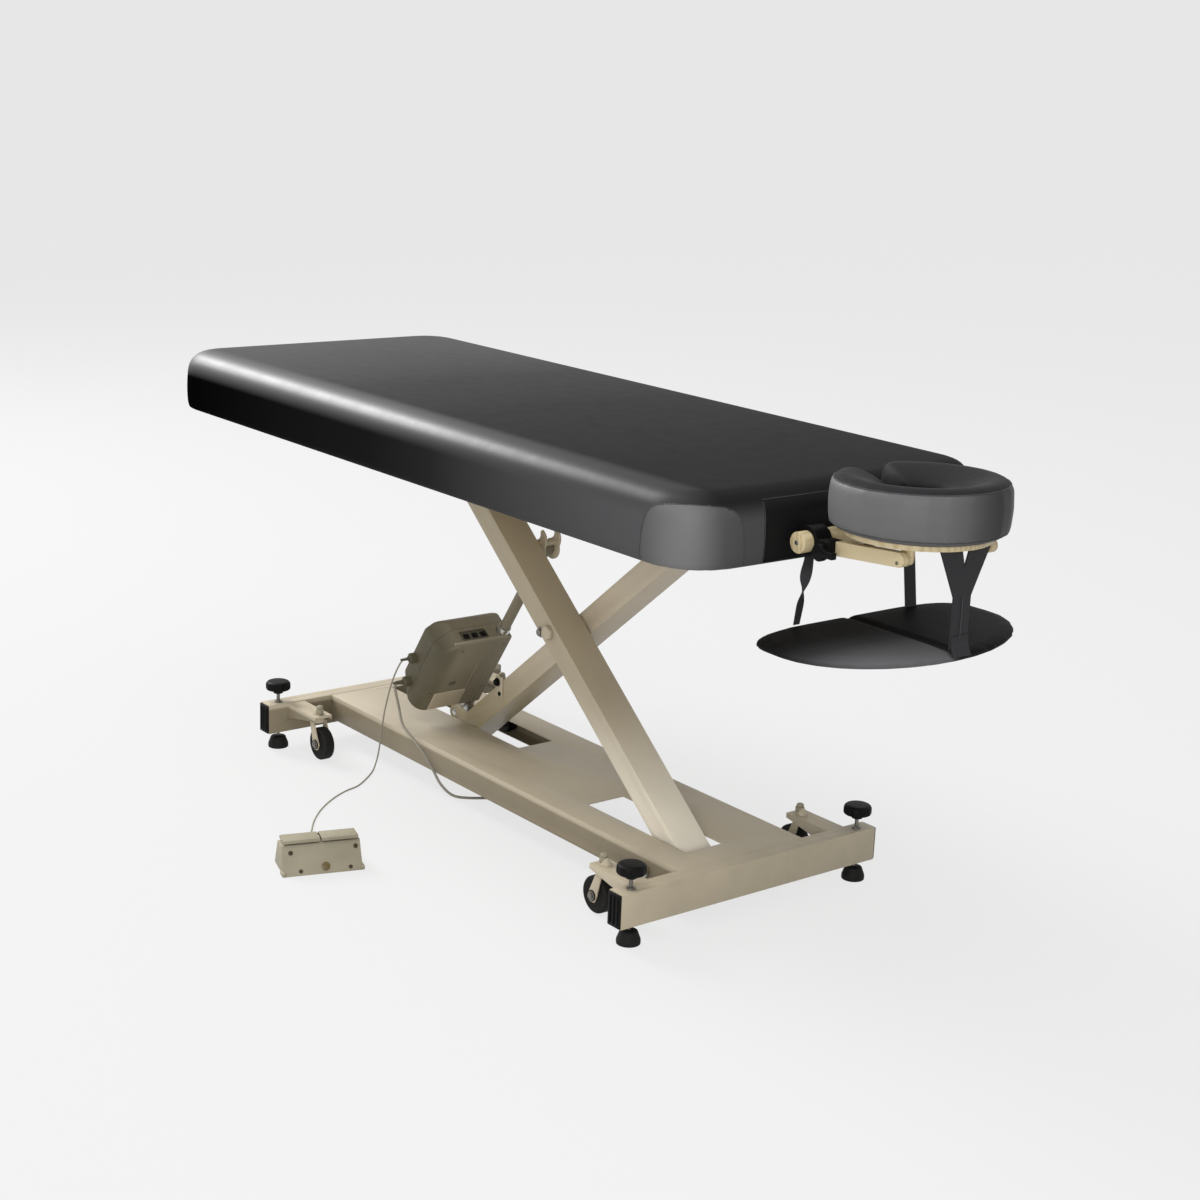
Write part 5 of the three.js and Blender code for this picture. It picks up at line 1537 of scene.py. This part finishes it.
def make_hardware():
    hex_bolt("crossing_bolt", at(142, -80, 423), (0, -1, 0), 15 * MM, 7 * MM, "leg_a",
             DARK_STEEL)
    lug = box_piece("leg_lug", at(-128, 0, 200), at(-102, 4.6, 246))
    bevel_piece(lug, 2.5 * MM, 3)
    finish_piece(smooth_piece(lug), "leg_b", CREAM)
    hex_bolt("lug_bolt", at(-118, -1, 233), (0, -1, 0), 13 * MM, 7 * MM, "leg_b", BLACK)
    screw_head("leg_screw", at(-110, 0, 208), (0, -1, 0), 5 * MM, "leg_b", BLACK)
    out, up = PEDAL_NORMAL
    lean = Vector((math.cos(PEDAL_TURN) * out, math.sin(PEDAL_TURN) * out, up))
    for name, across, z, radius in (
            ("pedal_screw_0", -62, 41.5, 4.5), ("pedal_screw_1", 69, 43.6, 4.5),
            ("pedal_foot_screw_0", -45, 8, 4), ("pedal_foot_screw_1", 55, 8, 4)):
        screw_head(name, pedal_front(across, z), lean, radius * MM, "base", AMBER_DARK)
    disc_place = pedal_front(5.5, 13)
    disc = rod_piece("pedal_disc", 8.5 * MM, disc_place - lean * MM, disc_place + lean * 2 * MM)
    finish_piece(smooth_piece(bevel_piece(disc, 0.8 * MM)), "base", AMBER)
    for word, across in (("left", -82), ("right", 76)):
        foot = box_piece(f"pedal_foot_{word}", Vector((24, across - 1, 0.2)) * MM,
                         Vector((46, across + 7, 9)) * MM)
        bevel_piece(foot, 2.4 * MM, 3)
        foot.data.transform(Matrix.Translation(at(*PEDAL_PLACE))
                            @ Matrix.Rotation(PEDAL_TURN, 4, "Z"))
        finish_piece(smooth_piece(foot), "base", BEIGE)
    # The dowel's end ring and screw, the rails' end screws
    for side, sign_y in (("near", -1), ("far", 1)):
        end = at(DOWEL_X, sign_y * 152, DOWEL_Z)
        out = Vector((0, sign_y, 0))
        ring = rod_piece(f"dowel_ring_{side}", 12.5 * MM, end - out * MM, end + out * 0.8 * MM)
        finish_piece(smooth_piece(bevel_piece(ring, 0.4 * MM)), "cradle_yoke", MAPLE_CROSS)
        screw_head(f"dowel_screw_{side}", end + out * 1.2 * MM, out, 4 * MM, "cradle_yoke")
        screw_head(f"rail_screw_{side}", at(1156, sign_y * 114.2, 796), out, 3 * MM,
                   "cradle_rails")


make_hardware()


# Stage and light
BACKDROP = 0.80
FLOOR_GLOW = 0.74
FLOOR_PAINT = 0.10
WORLD_LIGHT = 0.6
LAMPS = (
    ("top_softbox", (0.5, -0.9, 4.4), (0.1, 0.1, 0.4), (3.4, 3.4), 80),
    ("foot_softbox", (-5.0, -1.1, 4.4), (-0.6, -0.2, 0.8), (2.4, 2.8), 400),
    ("front_softbox", (3.6, -3.4, 1.7), (0.3, 0, 0.5), (2.0, 1.8), 95),
)


def seen_or_lit(tree, output, lit, seen):
    """Seen for camera, glossy and transmission rays, lit for all others."""
    path = tree.nodes.new("ShaderNodeLightPath")
    share = path.outputs["Is Camera Ray"]
    for name in ("Is Glossy Ray", "Is Transmission Ray"):
        share = add_node(tree, "Math", 0, {0: share, 1: path.outputs[name]}, operation="MAXIMUM")
    mix = add_node(tree, "MixShader", 0, {"Fac": share, 1: lit, 2: seen})
    set_inputs(tree, tree.nodes.new(f"ShaderNode{output}"), {"Surface": mix})


def bare_tree(owner):
    owner.use_nodes = True
    owner.node_tree.nodes.clear()
    return owner.node_tree


def make_world():
    world = bpy.data.worlds.new("studio")
    bpy.context.scene.world = world
    tree = bare_tree(world)
    seen = add_node(tree, "Background", 0, {"Color": (BACKDROP, BACKDROP, BACKDROP, 1)})
    lit = add_node(tree, "Background", 0, {"Color": (1, 1, 1, 1), "Strength": WORLD_LIGHT})
    seen_or_lit(tree, "OutputWorld", lit, seen)


def make_floor():
    """A pale floor: seen, it glows a little and still takes the table's shadow."""
    deselect()
    bpy.ops.mesh.primitive_plane_add(size=160, location=(0, 0, 0))
    floor = bpy.context.object
    floor.name = "studio_floor"
    finish = bpy.data.materials.new("studio_floor")
    tree = bare_tree(finish)
    plain = add_node(tree, "BsdfDiffuse", 0, {"Color": (0.6, 0.6, 0.6, 1)})
    paint = add_node(tree, "BsdfDiffuse", 0, {"Color": (FLOOR_PAINT,) * 3 + (1,)})
    glow = add_node(tree, "Emission", 0, {"Strength": FLOOR_GLOW})
    seen = add_node(tree, "AddShader", 0, {0: paint, 1: glow})
    seen_or_lit(tree, "OutputMaterial", plain, seen)
    floor.data.materials.append(finish)


def area_lamp(name, place, target, size, power):
    lamp = new_object(name, bpy.data.lights.new(name, "AREA"))
    lamp.data.shape = "RECTANGLE"
    lamp.data.size, lamp.data.size_y = size
    lamp.data.energy = power
    lamp.location = place
    lamp.rotation_euler = (Vector(target) - Vector(place)).to_track_quat("-Z", "Y").to_euler()


make_world()
make_floor()
for lamp in LAMPS:
    area_lamp(*lamp)
